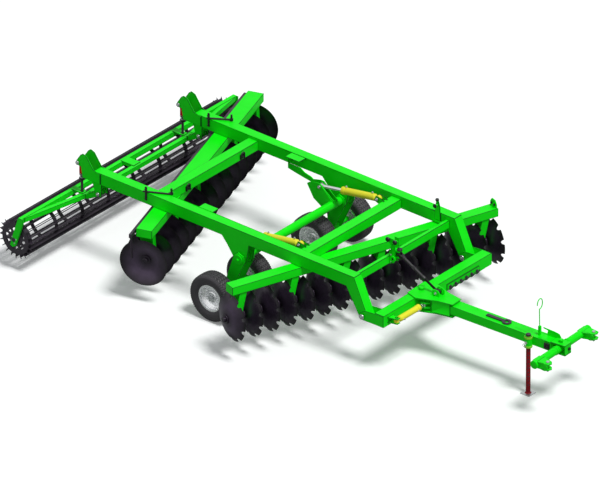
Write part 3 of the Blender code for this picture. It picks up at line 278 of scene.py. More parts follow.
def piece(name, body, shapes, finish, smooth=30, rounding=0.0, replaces=None):
    """Join closed shapes into one mesh, its seams merged and faces outwards, on a body."""
    vertices, faces, count = [], [], 0
    for points, quads, ends in shapes:
        vertices.append(points)
        faces += (quads + count).tolist() + (ends + count).tolist()
        count += len(points)
    mesh = bpy.data.meshes.new(name)
    mesh.from_pydata(np.vstack(vertices).tolist(), [], faces)
    work = bmesh.new()
    work.from_mesh(mesh)
    bmesh.ops.remove_doubles(work, verts=work.verts, dist=1e-6)
    bmesh.ops.recalc_face_normals(work, faces=work.faces)
    work.to_mesh(mesh)
    work.free()
    mesh.shade_smooth()
    mesh.set_sharp_from_angle(angle=math.radians(smooth))
    mesh.materials.append(finish[0])
    made = placed(name, mesh)
    if rounding:
        edge = made.modifiers.new("edge", "BEVEL")
        edge.width, edge.segments = rounding, 2
        edge.limit_method, edge.angle_limit = "ANGLE", math.radians(40)
    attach(made, body)
    if replaces:
        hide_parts(replaces)
    return made


def dark_steel(name, colour, rough, metal, bloomed="#4B4150", rim=None):
    """Oiled hot-rolled steel: near black, a violet bloom in clouds of 140 mm, handling marks of
    17 mm that dull it, and, if a rim colour is given, painted shade that darkens it to that colour."""
    made = bpy.data.materials.new(name)
    tree = emptied(made)
    place = node(tree, "TexCoord").outputs["Object"]
    bloom = node(tree, "TexNoise", {"Vector": place, "Scale": 7.0, "Detail": 6.0, "Roughness": 0.6})
    tint = node(tree, "Mix", {"Factor": bloom, "A": colour, "B": bloomed}, data_type="RGBA")
    if rim:
        # Painted shade: the discs darken to the rim colour towards hub and rim.
        painted_hub_and_rim_shade = node(tree, "Attribute", attribute_name="painted_hub_and_rim_shade").outputs["Fac"]
        tint = node(tree, "Mix", {"Factor": painted_hub_and_rim_shade, "A": rim, "B": tint.outputs["Result"]},
                    data_type="RGBA")
    rub = node(tree, "TexNoise", {"Vector": place, "Scale": 60.0, "Detail": 3.0})
    dull = node(tree, "MapRange", {"Value": rub, "To Min": rough - 0.1, "To Max": rough + 0.12})
    bump = node(tree, "Bump", {"Height": rub, "Strength": 0.08, "Distance": 0.001})
    steel = node(tree, "BsdfPrincipled", {"Base Color": tint.outputs["Result"], "Metallic": metal,
                                          "Roughness": dull, "Normal": bump})
    node(tree, "OutputMaterial", {"Surface": steel})
    return made, "black_steel"


# The rim colour #0B090C is painted shade, laid on the discs' hubs and rims.
disc_steel = dark_steel("oiled_boron_steel", "#2A212D", 0.32, 0.45, "#655470", "#0B090C")


def dish_height(radius):
    """Height of a spherical cap of the disc's depth above its rim plane, at a radius."""
    ball = (DISC_RADIUS ** 2 + DISC_DEPTH ** 2) / (2 * DISC_DEPTH)
    return np.sqrt(ball ** 2 - radius ** 2) - (ball - DISC_DEPTH)


def notched_rim(angle, count=10, depth=0.13, share=0.30):
    """Rim radius share: round bites, each a half circle sunk into the edge, count to a turn."""
    phase = (angle * count / (2 * np.pi)) % 1.0 - 0.5
    bite = np.clip(1 - (phase / (share / 2)) ** 2, 0, 1)
    return 1 - depth * np.sqrt(bite)


def disc(centre, axis, crown, notched):
    """A dished disc as one closed surface of angle and radius: inner face, edge, outer face."""
    axis, angle, out = spokes(axis, 240 if notched else 96)
    rim = DISC_RADIUS * (notched_rim(angle) if notched else np.ones_like(angle))
    share = np.append(np.linspace(0, 0.9, 9), [0.95, 1.0])[:, None]
    radius = BORE + share * (rim - BORE)
    half = np.interp(share, [0, 0.9, 1.0], [DISC_THICK / 2, DISC_THICK / 2, EDGE_HALF])
    height = crown * dish_height(radius)
    inner, outer = (centre + radius[..., None] * out + (height + sign * half)[..., None] * axis
                    for sign in (-1, 1))
    return solid_of(np.concatenate([inner, outer[::-1]]), closed=True)


def gang_shaft(gang, side, crown, notched):
    """Eight discs and the spools between them on one shaft; painted shade darkens them towards hub
    and rim.
    """
    centre, axis = pivot(f"{gang}_{side}_discs_turn")
    hub = crown * float(dish_height(HUB))
    spool = mirrored([(106, 40), (106, 60), (98, 60), (70, 41.8)])
    shapes = []
    for number in range(8):
        along = (number - 3.5) * PITCH
        shapes.append(disc(centre + axis * (along - hub), axis, crown, notched))
        if number < 7:
            shapes.append(turned(spool, centre + axis * (along + PITCH / 2), axis))
    for end in (-1, 1):
        shapes.append(turned([(4, 30), (4, 58), (14, 58), (16, 34), (40, 34), (44, 28)],
                             centre + axis * end * 3.5 * PITCH, axis * end, 24))
    made = piece(f"{gang}_disc_shaft_{side}", f"{gang}_shaft_{side}", shapes, disc_steel,
                 replaces=f"{gang}_discs_{side}")
    points = np.empty(3 * len(made.data.vertices))
    made.data.vertices.foreach_get("co", points)
    offset = points.reshape(-1, 3) - centre
    radius = np.linalg.norm(offset - (offset @ axis)[:, None] * axis, axis=1)
    # Painted shade: full colour at half radius, falling to the dark rim colour at hub and rim.
    painted_hub_and_rim_shade = np.interp(radius / DISC_RADIUS, [0.0, 0.2, 0.5, 0.85, 1.0], [0.2, 0.35, 0.95, 0.35, 0.0])
    made.data.attributes.new("painted_hub_and_rim_shade", "FLOAT", "POINT").data.foreach_set("value", painted_hub_and_rim_shade)


for side in ("right", "left"):
    gang_shaft("front", side, -1, True)
    gang_shaft("rear", side, 1, False)


# ---- Bearing housings and their bolts ----------------------------------------------------
# A split cast housing clamps each hanger's bearing round the shaft.  It is painted green, its
# collars are turned and its clamp bolts are zinc plated.
AHEAD, LEFT, UP = np.eye(3)


def zinc_plate(name, slot, colour, rough, metal=0.9):
    """Bright plating and its slot: a metal whose shine and value cloud slightly, 22 mm across."""
    made = bpy.data.materials.new(name)
    tree = emptied(made)
    place = node(tree, "TexCoord").outputs["Object"]
    bloom = node(tree, "TexNoise", {"Vector": place, "Scale": 45.0, "Detail": 4.0})
    dull = node(tree, "MapRange", {"Value": bloom, "To Min": rough - 0.1, "To Max": rough + 0.16})
    value = node(tree, "MapRange", {"Value": bloom, "To Min": 0.88, "To Max": 1.08})
    tint = node(tree, "HueSaturation", {"Value": value, "Color": colour})
    plated = node(tree, "BsdfPrincipled", {"Base Color": tint, "Metallic": metal, "Roughness": dull})
    node(tree, "OutputMaterial", {"Surface": plated})
    return made, slot


zinc = zinc_plate("zinc_plated_steel", "chromed_rod", "#B9BCBE", 0.34)


def bolt_heads(seats, axis, flats, tall=None):
    """A hexagon head on its washer at each seat: two turned profiles, the head with six sides."""
    tall = tall or 0.65 * flats
    corner = flats / math.sqrt(3)
    washer = [(-2, 0.2 * flats), (-2, 1.15 * corner), (3, 1.15 * corner), (3, 0.2 * flats)]
    head = [(2, corner), (3 + 0.8 * tall, corner), (3 + tall, 0.85 * corner)]
    return [turned(profile, seat, axis, sides) for seat in seats
            for profile, sides in ((washer, 24), (head, 6))]


def bearing_housings(gang):
    """Turned collars on the hangers' housings, and two clamp bolts each, front and back."""
    middle, line = pivot(gang + "_right_discs_turn")
    side = np.array([line[1], -line[0], 0.0])
    seats = [centre + line * hanger * PITCH for hanger in (-3, 0, 3)
             for centre in (middle, pivot(gang + "_left_discs_turn")[0])]
    collar = mirrored([(54, 46), (54, 71), (46, 74.5), (30, 74.5), (26, 71)])
    piece(gang + "_bearing_housings", "frame",
          [turned(collar, seat, line, 48, closed=True) for seat in seats], green)
    feet = [seat + side * across + line * along - 0.036 * UP for seat in seats
            for across in (-0.058, 0.058) for along in (-0.03, 0.03)]
    piece(gang + "_bearing_bolts", "frame", bolt_heads(feet, -UP, 19), zinc)


bearing_housings("front")
bearing_housings("rear")


# ---- Scraper bar -------------------------------------------------------------------------
# A flat bar behind the rear gang carries a bent spring-steel blade at each disc.  It is left
# black from the forge.
bar_steel = dark_steel("black_forged_steel", "#1B191B", 0.5, 0.4)
dress(["rear_scraper_bar"], bar_steel, 0.0015)


# ---- Angle adjusters of the gangs --------------------------------------------------------
# A black rod lies across each main beam over the gang beam, between an upright pin and a forged
# strap with two bolts.  A bolted plate closes the front gang beam's far end.
black = dark_steel("phosphated_black_steel", "#0F0E10", 0.42, 0.3, "#242126")


def prism(outline, ends, along, up):
    """An outline (along, up) carried straight through the points in ends."""
    outline = np.array(outline) / 1000
    return solid_of(np.stack([end + outline[:, :1] * along + outline[:, 1:] * up for end in ends]))


def plate(outline, origin, along, thick):
    """An upright outline (along, up) with its thickness across, centred on the origin."""
    across = np.cross(along, UP) * thick / 2000
    return prism(outline, (origin - across, origin + across), along, UP)


def swept(path, radius, normal, sides=12, closed=False):
    """A round bar carried along a path: circles in the plane of a given normal and binormal."""
    tangent = np.gradient(path, axis=0)
    if closed:
        tangent = np.roll(path, -1, axis=0) - np.roll(path, 1, axis=0)
    tangent /= np.linalg.norm(tangent, axis=1)[:, None]
    normal = normal - (normal * tangent).sum(axis=1)[:, None] * tangent
    normal = normal / np.linalg.norm(normal, axis=1)[:, None]
    binormal = np.cross(tangent, normal)
    angle = np.arange(sides)[:, None] * 2 * np.pi / sides
    return solid_of(path[:, None] + radius * (np.cos(angle) * normal[:, None]
                                              + np.sin(angle) * binormal[:, None]), closed)


shapes = []
for rear, front, side in (((0.745, -0.968, 1.100), (1.040, -0.812, 1.100), -1),
                          ((0.190, 0.805, 1.100), (0.455, 0.962, 1.106), 1)):
    shapes.append(swept(np.array([at(*rear), at(*front)]), 0.0105, UP))
    shapes.append(turned([(0, 8), (0, 21), (28, 21), (30, 12), (76, 12), (80, 6)],
                         at(*front) - (0.012, side * 0.010, 0.012), UP, 24))
strap = [(-14, 0), (14, 0), (14, 164), (8, 174), (-8, 174), (-14, 164)]
for foot in (at(0.780, -0.9565, 0.992), at(0.213, 0.8195, 0.992)):
    shapes.append(plate(strap, foot, AHEAD, 10))
    shapes += bolt_heads([foot - 0.005 * LEFT + height * UP for height in (0.022, 0.146)], -LEFT,
                         18, 12)
piece("gang_adjusters", "frame", shapes, black)

# The end plate stands square to the front gang beam.
line = pivot("front_left_discs_turn")[1]
line = line * math.copysign(1.0, line[1])
side = np.array([line[1], -line[0], 0.0])
end = at(3.836, 1.542, 0.936)
outline = [(-66, 0), (66, 0), (66, 50), (34, 96), (-34, 96), (-66, 50)]
piece("gang_end_plate", "frame", [plate(outline, end, side, 12)], green, rounding=0.0015)
seats = [end + side * along + 0.040 * UP - line * 0.006 for along in (-0.030, 0.030)]
piece("gang_end_bolts", "frame", bolt_heads(seats, -line, 22, 13), black)


# ---- Rockshaft ---------------------------------------------------------------------------
# A round tube turns in the beams' hangers.  Boxed arm plates carry the stub axles, lever plates
# and their wide webs take the lift cylinders, and bolted washers close its bearings.
dress(["rockshaft"], green, 0.003, painted_edge_shade)
shaft_middle, turn_axis = pivot("axle_lift")
SHAFT_HALF = 0.995

shapes = []
for way in (-turn_axis, turn_axis):
    tip = shaft_middle + way * SHAFT_HALF
    shapes.append(turned([(-4, 20), (-4, 60), (3, 60), (5, 57), (5, 20)], tip, way, 40))
    shapes += bolt_heads([tip + way * 0.005], way, 27, 14)
    shapes += [turned(mirrored([(8, 51), (8, 66), (4, 70)]), shaft_middle + way * inner, turn_axis,
                      40, closed=True) for inner in (0.805, 0.971)]
piece("rockshaft_end_caps", "axle", shapes, green)

outline = [(2150, 705), (2030, 672), (1917, 740), (1850, 850), (1819, 901), (1860, 932),
           (1960, 958), (2010, 958), (2205, 775)]
piece("lift_lever_webs", "axle", [plate(outline, at(0, across, 0), AHEAD, 6)
                                  for across in (-0.7285, -0.6515, 0.6515, 0.7285)], green)

# A flat stop arm runs forward under each beam, tapering to a round nose.
outline = [(1455, 925), (1560, 905), (1700, 882), (1800, 868), (1834, 880), (1838, 905),
           (1800, 930), (1700, 952), (1640, 990), (1455, 990)]
piece("stop_arms", "frame", [plate(outline, at(0, across, 0), AHEAD, 12)
                             for across in (-0.752, 0.752)], green, rounding=0.0015)


# ---- Tyres -------------------------------------------------------------------------------
# Implement tyres of vulcanised rubber, nearly black, with a moulded grain of 1.4 mm and dust in
# patches of 110 mm.  Four zigzag grooves with dry soil in them part the tread, the shoulders have
# cross cuts, and thin rings are moulded on the side walls.
WHEELS = [side + "_" + place for side in ("left", "right") for place in ("inner", "outer")]
TYRE_RADIUS, TYRE_HALF = 0.291, 0.1025

vulcanised = bpy.data.materials.new("vulcanised_rubber")
tree = emptied(vulcanised)
place = node(tree, "TexCoord").outputs["Object"]
dust = node(tree, "TexNoise", {"Vector": place, "Scale": 9.0, "Detail": 6.0, "Roughness": 0.65})
shade = node(tree, "Mix", {"Factor": dust, "A": "#1F1D20", "B": "#37343A"}, data_type="RGBA")
soil = node(tree, "Attribute", attribute_name="soil")
dry = node(tree, "Mix", {"Factor": soil.outputs["Fac"], "A": shade.outputs["Result"],
                         "B": "#918E90"}, data_type="RGBA")
grain = node(tree, "TexNoise", {"Vector": place, "Scale": 700.0, "Detail": 2.0})
bump = node(tree, "Bump", {"Height": grain, "Strength": 0.15, "Distance": 0.0006})
skin = node(tree, "BsdfPrincipled", {"Base Color": dry.outputs["Result"], "Roughness": 0.62,
                                     "IOR": 1.52, "Normal": bump})
node(tree, "OutputMaterial", {"Surface": skin})
rubber = (vulcanised, "rubber")


def tyre_section():
    """Half the section of a tyre as (across, radius): crown arc, bulged wall, narrow bead."""
    across = np.linspace(0, 0.080, 37)
    crown = np.stack([across, TYRE_RADIUS - 0.94 * across ** 2], axis=1)
    radius = np.append(np.linspace(0.2825, 0.232, 17), np.linspace(0.228, 0.1545, 15))
    drop = np.where(radius > 0.232, 0.0190 * np.abs((radius - 0.232) / 0.0505) ** 4.0,
                    0.0305 * np.abs((0.232 - radius) / 0.0775) ** 2.2)
    ring = 0.0012 * (np.abs(radius - 0.262) < 0.003) + 0.0010 * (np.abs(radius - 0.196) < 0.003)
    return np.vstack([crown, np.stack([TYRE_HALF - 0.0012 - drop + ring, radius], axis=1)])


def tyre(name, teeth=36, cuts=64, sides=320):
    """Section times turn; the tread sinks by the zigzag grooves and the shoulder cuts."""
    centre, axis = pivot(name + "_wheel_turn")
    axis, angle, out = spokes(axis, sides)
    half = tyre_section()
    across, radius = np.vstack([half[::-1] * [-1, 1], half[1:]]).T[..., None] * np.ones(sides)
    zigzag = 0.0055 * (2 * np.abs((angle * teeth / (2 * np.pi)) % 1 * 2 - 1) - 1)
    sink = np.zeros_like(radius)
    for groove in (-0.050, -0.0165, 0.0165, 0.050):
        inside = 1 - np.abs(across - groove - zigzag) / 0.0062
        sink = np.maximum(sink, 0.012 * np.clip(inside * 2.2, 0, 1))
    soil = 0.85 * (sink > 0.010)
    cut = np.abs((angle * cuts / (2 * np.pi)) % 1 * 2 - 1) < 0.26
    shoulder = (np.abs(across) > 0.059) & (radius > 0.250)
    radius = radius - np.maximum(sink, 0.0060 * (shoulder & cut))
    rings = centre + across[..., None] * axis + radius[..., None] * out
    made = piece("tyre_with_tread_" + name, "wheel_" + name, [solid_of(rings, closed=True)], rubber,
                 40, replaces="tyre_" + name)
    made.data.attributes.new("soil", "FLOAT", "POINT").data.foreach_set("value", soil.ravel())


for name in WHEELS:
    tyre(name)


# ---- Rims --------------------------------------------------------------------------------
# Pressed steel rims, silver painted: a rolled bed with lips, a dished disc with hand holes
# between rim and hub, wheel bolts on a ring, and a turned dust cap.
silver = zinc_plate("silver_wheel_paint", "white_rim", "#F3F4F6", 0.24, 0.75)


def wheel_disc(centre, axis, side):
    """Dished disc on angle and radius, its five hand holes sunk as deep dents."""
    axis, angle, out = spokes(axis, 120)
    radius = np.linspace(0.030, 0.139, 34)[:, None]
    height = np.interp(radius, [0.030, 0.062, 0.068, 0.082, 0.104, 0.122, 0.133, 0.139],
                       [0.044, 0.044, 0.040, 0.018, 0.012, 0.020, 0.034, 0.036])
    phase = ((angle * 5 / (2 * np.pi)) % 1 - 0.5) / 0.19
    hole = np.clip(1.25 - phase ** 2 - ((radius - 0.099) / 0.014) ** 2, 0, 1)
    faces = []
    for back, deep in ((0.0, 0.010), (-0.006, -0.002)):
        level = side * (height + back - deep * np.clip(hole * 3, 0, 1))
        faces.append(centre + level[..., None] * axis + radius[..., None] * out)
    return solid_of(np.concatenate([faces[0], faces[1][::-1]]), closed=True)


def rim(name):
    """Rolled bed and lips, dished disc, hub, wheel bolts and dust cap, all about one axis."""
    centre, axis = pivot(name + "_wheel_turn")
    side = 1 if ("left" in name) == ("outer" in name) else -1
    way = axis * side
    lip = [(80, 144), (80.5, 156), (78.5, 164), (75.5, 165.5), (73, 163), (72.5, 154.5), (40, 152),
           (26, 140)]
    bed = lip + [(-along, radius) for along, radius in lip[::-1]]
    hub = [(-52, 36), (-52, 52), (30, 52), (38, 62), (41, 62), (41, 36)]
    shapes = [turned(bed + mirrored([(76.5, 150), (44, 148), (30, 136)]), centre, axis, 96,
                     closed=True), wheel_disc(centre, axis, side), turned(hub, centre, way, 48)]
    piece("pressed_rim_" + name, "wheel_" + name, shapes, silver, 32, replaces="rim_" + name)
    bolts = bolt_heads([centre + 0.050 * out + way * 0.043 for out in spokes(axis, 6)[2]], way,
                       17, 10)
    bolts.append(turned([(40, 34), (62, 33), (69, 29), (72, 20), (73, 4)], centre, way, 48))
    bolts.append(turned([(40, 34), (58, 34), (60, 26)], centre, -way))
    piece("wheel_bolts_" + name, "wheel_" + name, bolts, zinc)


for name in WHEELS:
    rim(name)


# ---- Cylinders ---------------------------------------------------------------------------
# Hydraulic cylinders: a yellow painted tube with a welded foot and screwed gland, two ports
# with plugs, and a hard-chromed rod with a forged eye.
yellow = enamel("yellow_cylinder_paint", "yellow_enamel", "#EEE93A", 0.30, 0.04)
chrome = zinc_plate("hard_chrome", "chromed_rod", "#D2D5D8", 0.16)


def cylinder_parts(name, turn_joint, end, long, tube, rod, eye, flat):
    """Tube and rod as turned profiles between two eyes whose pins lie along flat; the tube's
    length and the radii of tube, rod and eye are in millimetres."""
    start = pivot(turn_joint)[0]
    line = end - start
    span = np.linalg.norm(line) * 1000
    line = line / np.linalg.norm(line)
    ring = mirrored([(20, 15.5), (20, eye - 2), (18, eye)])
    barrel = [(eye * 0.8, 0.4 * tube), (eye + 12, 0.7 * tube), (eye + 18, tube - 2),
              (eye + 21, tube), (long - 50, tube), (long - 48, tube + 4), (long - 6, tube + 4),
              (long - 3, tube + 1), (long, tube - 4), (long, rod + 5), (long - 3, rod + 4),
              (long - 3, rod + 0.6)]
    up = np.cross(line, flat)
    up = up / np.linalg.norm(up) * (1 if up[2] >= 0 or abs(up[2]) < 0.1 else -1)
    ports = [start + (line * along + up * (tube - 3)) / 1000 for along in (eye + 50, long - 70)]
    shapes = [turned(ring, start, flat, 40, closed=True), turned(barrel, start, line, 48)]
    shapes += [turned([(0, 11), (12, 11), (14, 9)], port, up, 24) for port in ports]
    piece(name + "_tube", name + "_cylinder", shapes, yellow, 32, replaces=name + "_barrel")
    piece(name + "_ports", name + "_cylinder",
          bolt_heads([port + up * 0.014 for port in ports], up, 16, 10), zinc)
    bar = [(long - 100, rod), (span - eye - 16, rod), (span - eye - 14, rod + 5),
           (span - eye * 0.75, rod + 5), (span - eye * 0.6, rod - 2)]
    shapes = [turned(bar, start, line, 40), turned(ring, end, flat, 40, closed=True),
              turned(mirrored([(21, 4), (21, 16)]), end, flat, 24)]
    piece(name + "_chromed_rod", name + "_piston", shapes, chrome, 32, replaces=name + "_rod")


for side, across in (("left", 0.690), ("right", -0.690)):
    cylinder_parts("lift_" + side, f"lift_{side}_swing", at(1.9995, across, 0.912), 545, 42, 22, 34,
                   LEFT)
cylinder_parts("swing", "swing_cylinder_turn", at(4.372, -0.345, 0.668), 400, 36, 20, 30, UP)


# ---- Tow frame ---------------------------------------------------------------------------
# The low cross tube hangs in the legs on two pins, with end plates, lugs and a studded rail for
# a shifted drawbar.  It is painted green; its pins have plated heads and washers.
dress(["low_beam"], green, 0.005, painted_edge_shade)
BEAM_Y = 0.888                       # from the middle line to the middle of each main beam


def pin_heads(name, body, centres, half, radius, flats):
    """Domed washer and hexagon head on both ends of each level pin, half its length out."""
    washer = [(-2, radius * 0.4), (-2, radius * 1.7), (3, radius * 1.6), (4, radius * 0.4)]
    shapes = []
    for seat, way in ((centre + way * half, way) for centre in centres for way in (-LEFT, LEFT)):
        shapes.append(turned(washer, seat, way))
        shapes += bolt_heads([seat + way * 0.003], way, flats, 0.6 * flats)
    piece(name, body, shapes, zinc)


pin_heads("tow_pin_heads", "tow_frame", [at(3.984, y, 0.640) for y in (BEAM_Y, -BEAM_Y)], 0.0945,
          20, 20)

# A black nut sits on each stud of the side rail, and a bent wire clip, a half round, under it.
studs = np.linspace(0.21, 0.68, 6)
turn = np.linspace(np.pi, 2.1 * np.pi, 20)
clip = np.stack([0.018 + 0.010 * np.sin(turn), 0.036 * np.cos(turn), 0.036 * np.sin(turn)], axis=1)
shapes = bolt_heads([at(4.3005, y, 0.638) for y in studs], AHEAD, 30, 20)
shapes += [swept(at(4.300, y, 0.640) + clip, 0.0050, AHEAD, 10) for y in studs]
piece("side_rail_nuts", "tow_frame", shapes, bar_steel)


# ---- Drawbar -----------------------------------------------------------------------------
# A square tube between two flame-cut head plates that swing on the king pin, painted green.  The
# king pin and the hitch pin have turned caps, and a plate closes the tip between its forks.
dress(["drawbar"], green, 0.004, painted_edge_shade)
YAW = math.radians(2.94)
along_bar = np.array([math.cos(YAW), math.sin(YAW), 0.0])
across_bar = np.array([-math.sin(YAW), math.cos(YAW), 0.0])
TIP, CROSSBAR = 2.02, 1.96           # along the drawbar, from its king pin
BAR_TOP, BAR_MIDDLE = 0.726, 0.671


def on_bar(along, across, height):
    """A point along and across the drawbar from its king pin, at a height above the floor."""
    return at(4.224, -0.205, 0.0) + along * along_bar + across * across_bar + (0, 0, height)


def oblong(half, low, high):
    """The outline of a plate that is twice half wide, between two heights."""
    return [(-half, low), (half, low), (half, high), (-half, high)]


shapes = [turned([(0, 34), (10, 34), (14, 30), (15, 6)], on_bar(0, 0, 0.7725), UP, 40),
          turned([(0, 26), (8, 26), (11, 22), (12, 5)], on_bar(CROSSBAR, 0, BAR_MIDDLE + 0.090), UP)]
piece("drawbar_pin_caps", "towbar", shapes, green)

# The hose hook is a plate whose outline runs back, ahead of the hose holder.
outline = [(0, -1), (175, -1), (190, 30), (165, 66), (100, 76), (-60, 82), (-60, 70), (5, 60),
           (-5, 20)]
piece("hose_hook", "towbar", [plate(outline, on_bar(1.735, 0.050, BAR_TOP), along_bar, 8)], green,
      rounding=0.0015)

piece("drawbar_tip_plate", "towbar", [plate(oblong(58, -52, 56), on_bar(TIP + 0.034, 0, BAR_MIDDLE),
                                            across_bar, 10)], green, rounding=0.002)
shapes = bolt_heads([on_bar(TIP + 0.039, 0.012, BAR_MIDDLE + 0.004)], along_bar, 30, 18)
shapes += bolt_heads([on_bar(1.825 + along, -0.100, BAR_MIDDLE + 0.006)
                      for along in (-0.018, 0.018)], -across_bar, 20, 12)
shapes.append(plate(oblong(34, -36, 36), on_bar(1.825, -0.090, BAR_MIDDLE + 0.004), along_bar, 20))
piece("drawbar_tip_bolts", "towbar", shapes, black)


# ---- Hitch crossbar ----------------------------------------------------------------------
# A thick tube across the tip, with two ear plates, an upright web and a hardened pin at each end
# for the tractor's lower links.  The pins are plated and held by spring clips.
dress(["hitch_crossbar"], green, 0.003, painted_edge_shade)

turn = np.linspace(0.25, 2 * np.pi - 0.25, 40)
clip = np.stack([0.020 * np.cos(turn), 0.020 * np.sin(turn), -0.058 + 0 * turn], axis=1)
pins, collars = [], []
for sign in (-1, 1):
    pin = on_bar(CROSSBAR + 0.135, sign * 0.435, BAR_MIDDLE)
    pins.append(turned([(40, 10), (40, 21), (46, 22), (56, 19), (58, 6)], pin, UP))
    pins.append(turned([(40, 10), (40, 19.5), (43, 19.5), (43, 14.2), (68, 14.2), (75, 9)], pin,
                       -UP))
    pins.append(swept(pin + clip, 0.0022, UP, 8))
    collars.append(turned([(-30, 30), (-30, 49), (-26, 50.5), (-4, 50.5), (0, 48), (3, 30)],
                          on_bar(CROSSBAR, sign * 0.520, BAR_MIDDLE), across_bar * sign, 48))
    collars.append(turned(mirrored([(10, 30), (10, 50), (6, 53)]),
                          on_bar(CROSSBAR, sign * 0.115, BAR_MIDDLE), across_bar, 48, closed=True))
piece("hitch_pin_heads", "hitch_bar", pins, zinc)
piece("crossbar_collars", "hitch_bar", collars, green)

outline = [(30, -40), (120, -52), (158, -40), (168, -10), (160, 24), (120, 40), (30, 40)]
piece("hitch_ear_webs", "hitch_bar",
      [plate(outline, on_bar(CROSSBAR, across, BAR_MIDDLE), along_bar, 8)
       for across in (-0.4835, 0.3865)], green, rounding=0.0015)


# ---- Jack --------------------------------------------------------------------------------
# The parking jack is a red steel tube with a row of pin holes drawn as dark discs of painted shade,
# in a clamp on the drawbar's near side.  Its foot is a plated square plate; a pin with a ring holds
# the height.
dark_red = enamel("dark_red_paint", "red_enamel", "#8E1620", 0.36, 0.07)
lime = enamel("lime_clamp_paint", "green_enamel", "#8CDC3C", 0.36, 0.05)
JACK = on_bar(TIP - 0.43, -0.120, 0.0)

leg = [(9, 12), (9, 40), (14, 34), (22, 27.1), (742, 27.1), (764, 27.1), (768, 24), (769, 4)]
piece("jack_tube", "jack", [turned(leg, JACK, UP, 48)], dark_red, replaces="jack_leg")
way = np.array([0.7071, -0.7071, 0])
# Each pin hole is a dark steel disc on the tube's skin: painted shade where the hole is.
piece("jack_holes_painted_shade", "jack",
      [turned([(20, 2), (27.3, 8.5), (27.6, 7.2), (27.6, 1)], JACK + height * UP, out, 20)
       for height in np.arange(0.12, 0.56, 0.055) for out in (way, -way)], bar_steel)
piece("jack_cap", "jack", [turned([(752, 20), (752, 28), (768, 28), (771, 25), (771, 5)], JACK, UP,
                                  40)], bar_steel)
piece("jack_foot", "jack", [prism(oblong(65, -65, 65), (JACK, JACK + 0.010 * UP), AHEAD, LEFT)],
      zinc, rounding=0.002)

# Two turned bands clamp the sleeve, and the locking pin carries a ring.
band = mirrored([(12, 30), (12, 45.5), (9, 48)])
piece("jack_clamp_bands", "towbar",
      [turned(band, JACK + height * UP, UP, 40, closed=True)
       for height in (BAR_MIDDLE + 0.058, BAR_MIDDLE - 0.058)], lime)
sleeve = JACK + BAR_MIDDLE * UP
turn = np.linspace(0, 2 * np.pi, 41)[:-1, None]
loop = 0.022 * (np.cos(turn) * along_bar + np.sin(turn) * UP) - 0.020 * UP - 0.078 * across_bar
shapes = bolt_heads([sleeve - across_bar * 0.043], -across_bar, 24, 14)
shapes.append(turned([(0, 9), (30, 9), (36, 6)], sleeve - across_bar * 0.050, -across_bar, 24))
shapes.append(swept(sleeve + loop, 0.0025, -across_bar, 8, closed=True))
piece("jack_locking_pin", "towbar", shapes, zinc)


# ---- Hose holder and wrench --------------------------------------------------------------
# A bent round wire with an open loop of 285 degrees stands in a square post and keeps the hoses
# off the ground.  The black forged ring wrench for the top link lies clipped on the drawbar.
foot = on_bar(TIP - 0.36, 0.0, BAR_TOP)
turn = np.linspace(-1.75, 3.25, 60)
loop = np.stack([0 * turn, 0.045 * np.cos(turn), 0.400 + 0.065 * np.sin(turn)], axis=1)
rise = np.linspace([0, 0, 0.08], loop[0], 12)[:-1]
corner = np.array([(-1, -1), (1, -1), (1, 1), (-1, 1)]) * 0.0142
post = np.stack([np.c_[corner * grow, np.full(4, level)] for level, grow in
                 ((0.0005, 1.0), (0.112, 1.0), (0.120, 0.55))])
piece("hose_loop", "towbar", [swept(foot + np.vstack([rise, loop]), 0.0060, AHEAD),
                              solid_of(foot + post)], green, replaces="hose_holder")
dress(["wrench"], bar_steel, 0.003)


# ---- Top link ----------------------------------------------------------------------------
# A turnbuckle from the mast to the head plate: black barrel with a hexagon grip, rolled thread
# on its rod, forged eyes, and a forked end that swivels in the mast.
dress(["turnbuckle_cross"], black, 0.001)
top, low = at(3.880, -0.180, 1.075), at(4.445, -0.180, 0.785)
span = np.linalg.norm(low - top) * 1000
line = (low - top) / np.linalg.norm(low - top)
upright = np.cross(line, LEFT)
THREAD_STEP = 2                      # half the thread's pitch: a saw-tooth of crests and roots

barrel = [(41, 10), (41, 20), (45, 22), (80, 22), (84, 17.8), (376, 17.8), (380, 21.5),
          (416, 21.5), (420, 20), (420, 15.6)]
shapes = [turned(barrel, top, line, 40),
          turned([(215, 17), (215, 22.5), (255, 22.5), (255, 17)], top, line, 6),
          prism(oblong(30, -18, 18), (top + line * 0.030, top + line * 0.050), LEFT, upright)]
for way in (-LEFT, LEFT):
    shapes.append(turned([(17.5, 10.8), (17.5, 22), (29.5, 22), (29.5, 10.8)], top, way, 32,
                         closed=True))
    shapes.append(prism(oblong(5.5, -17, 17), [top + way * 0.0235 + line * step
                                               for step in (0.012, 0.040)], LEFT, upright))
piece("top_link_barrel", "link_barrel", shapes, black, replaces="turnbuckle_barrel")

steps = np.arange(300, span - 52, THREAD_STEP)
thread = np.stack([steps, np.where(np.arange(len(steps)) % 2, 15.0, 12.8)], axis=1)
rod = np.vstack([thread, [(span - 50, 13), (span - 46, 19), (span - 22, 22), (span - 18, 12)]])
shapes = [turned(rod, top, line, 20),
          turned(mirrored([(18, 16.5), (18, 28), (16, 30)]), low, LEFT, 40, closed=True),
          turned(mirrored([(17.5, 3), (17.5, 16.6)]), low, LEFT, 24)]
piece("top_link_thread", "link_rod", shapes, black, 35, replaces="turnbuckle_rod")

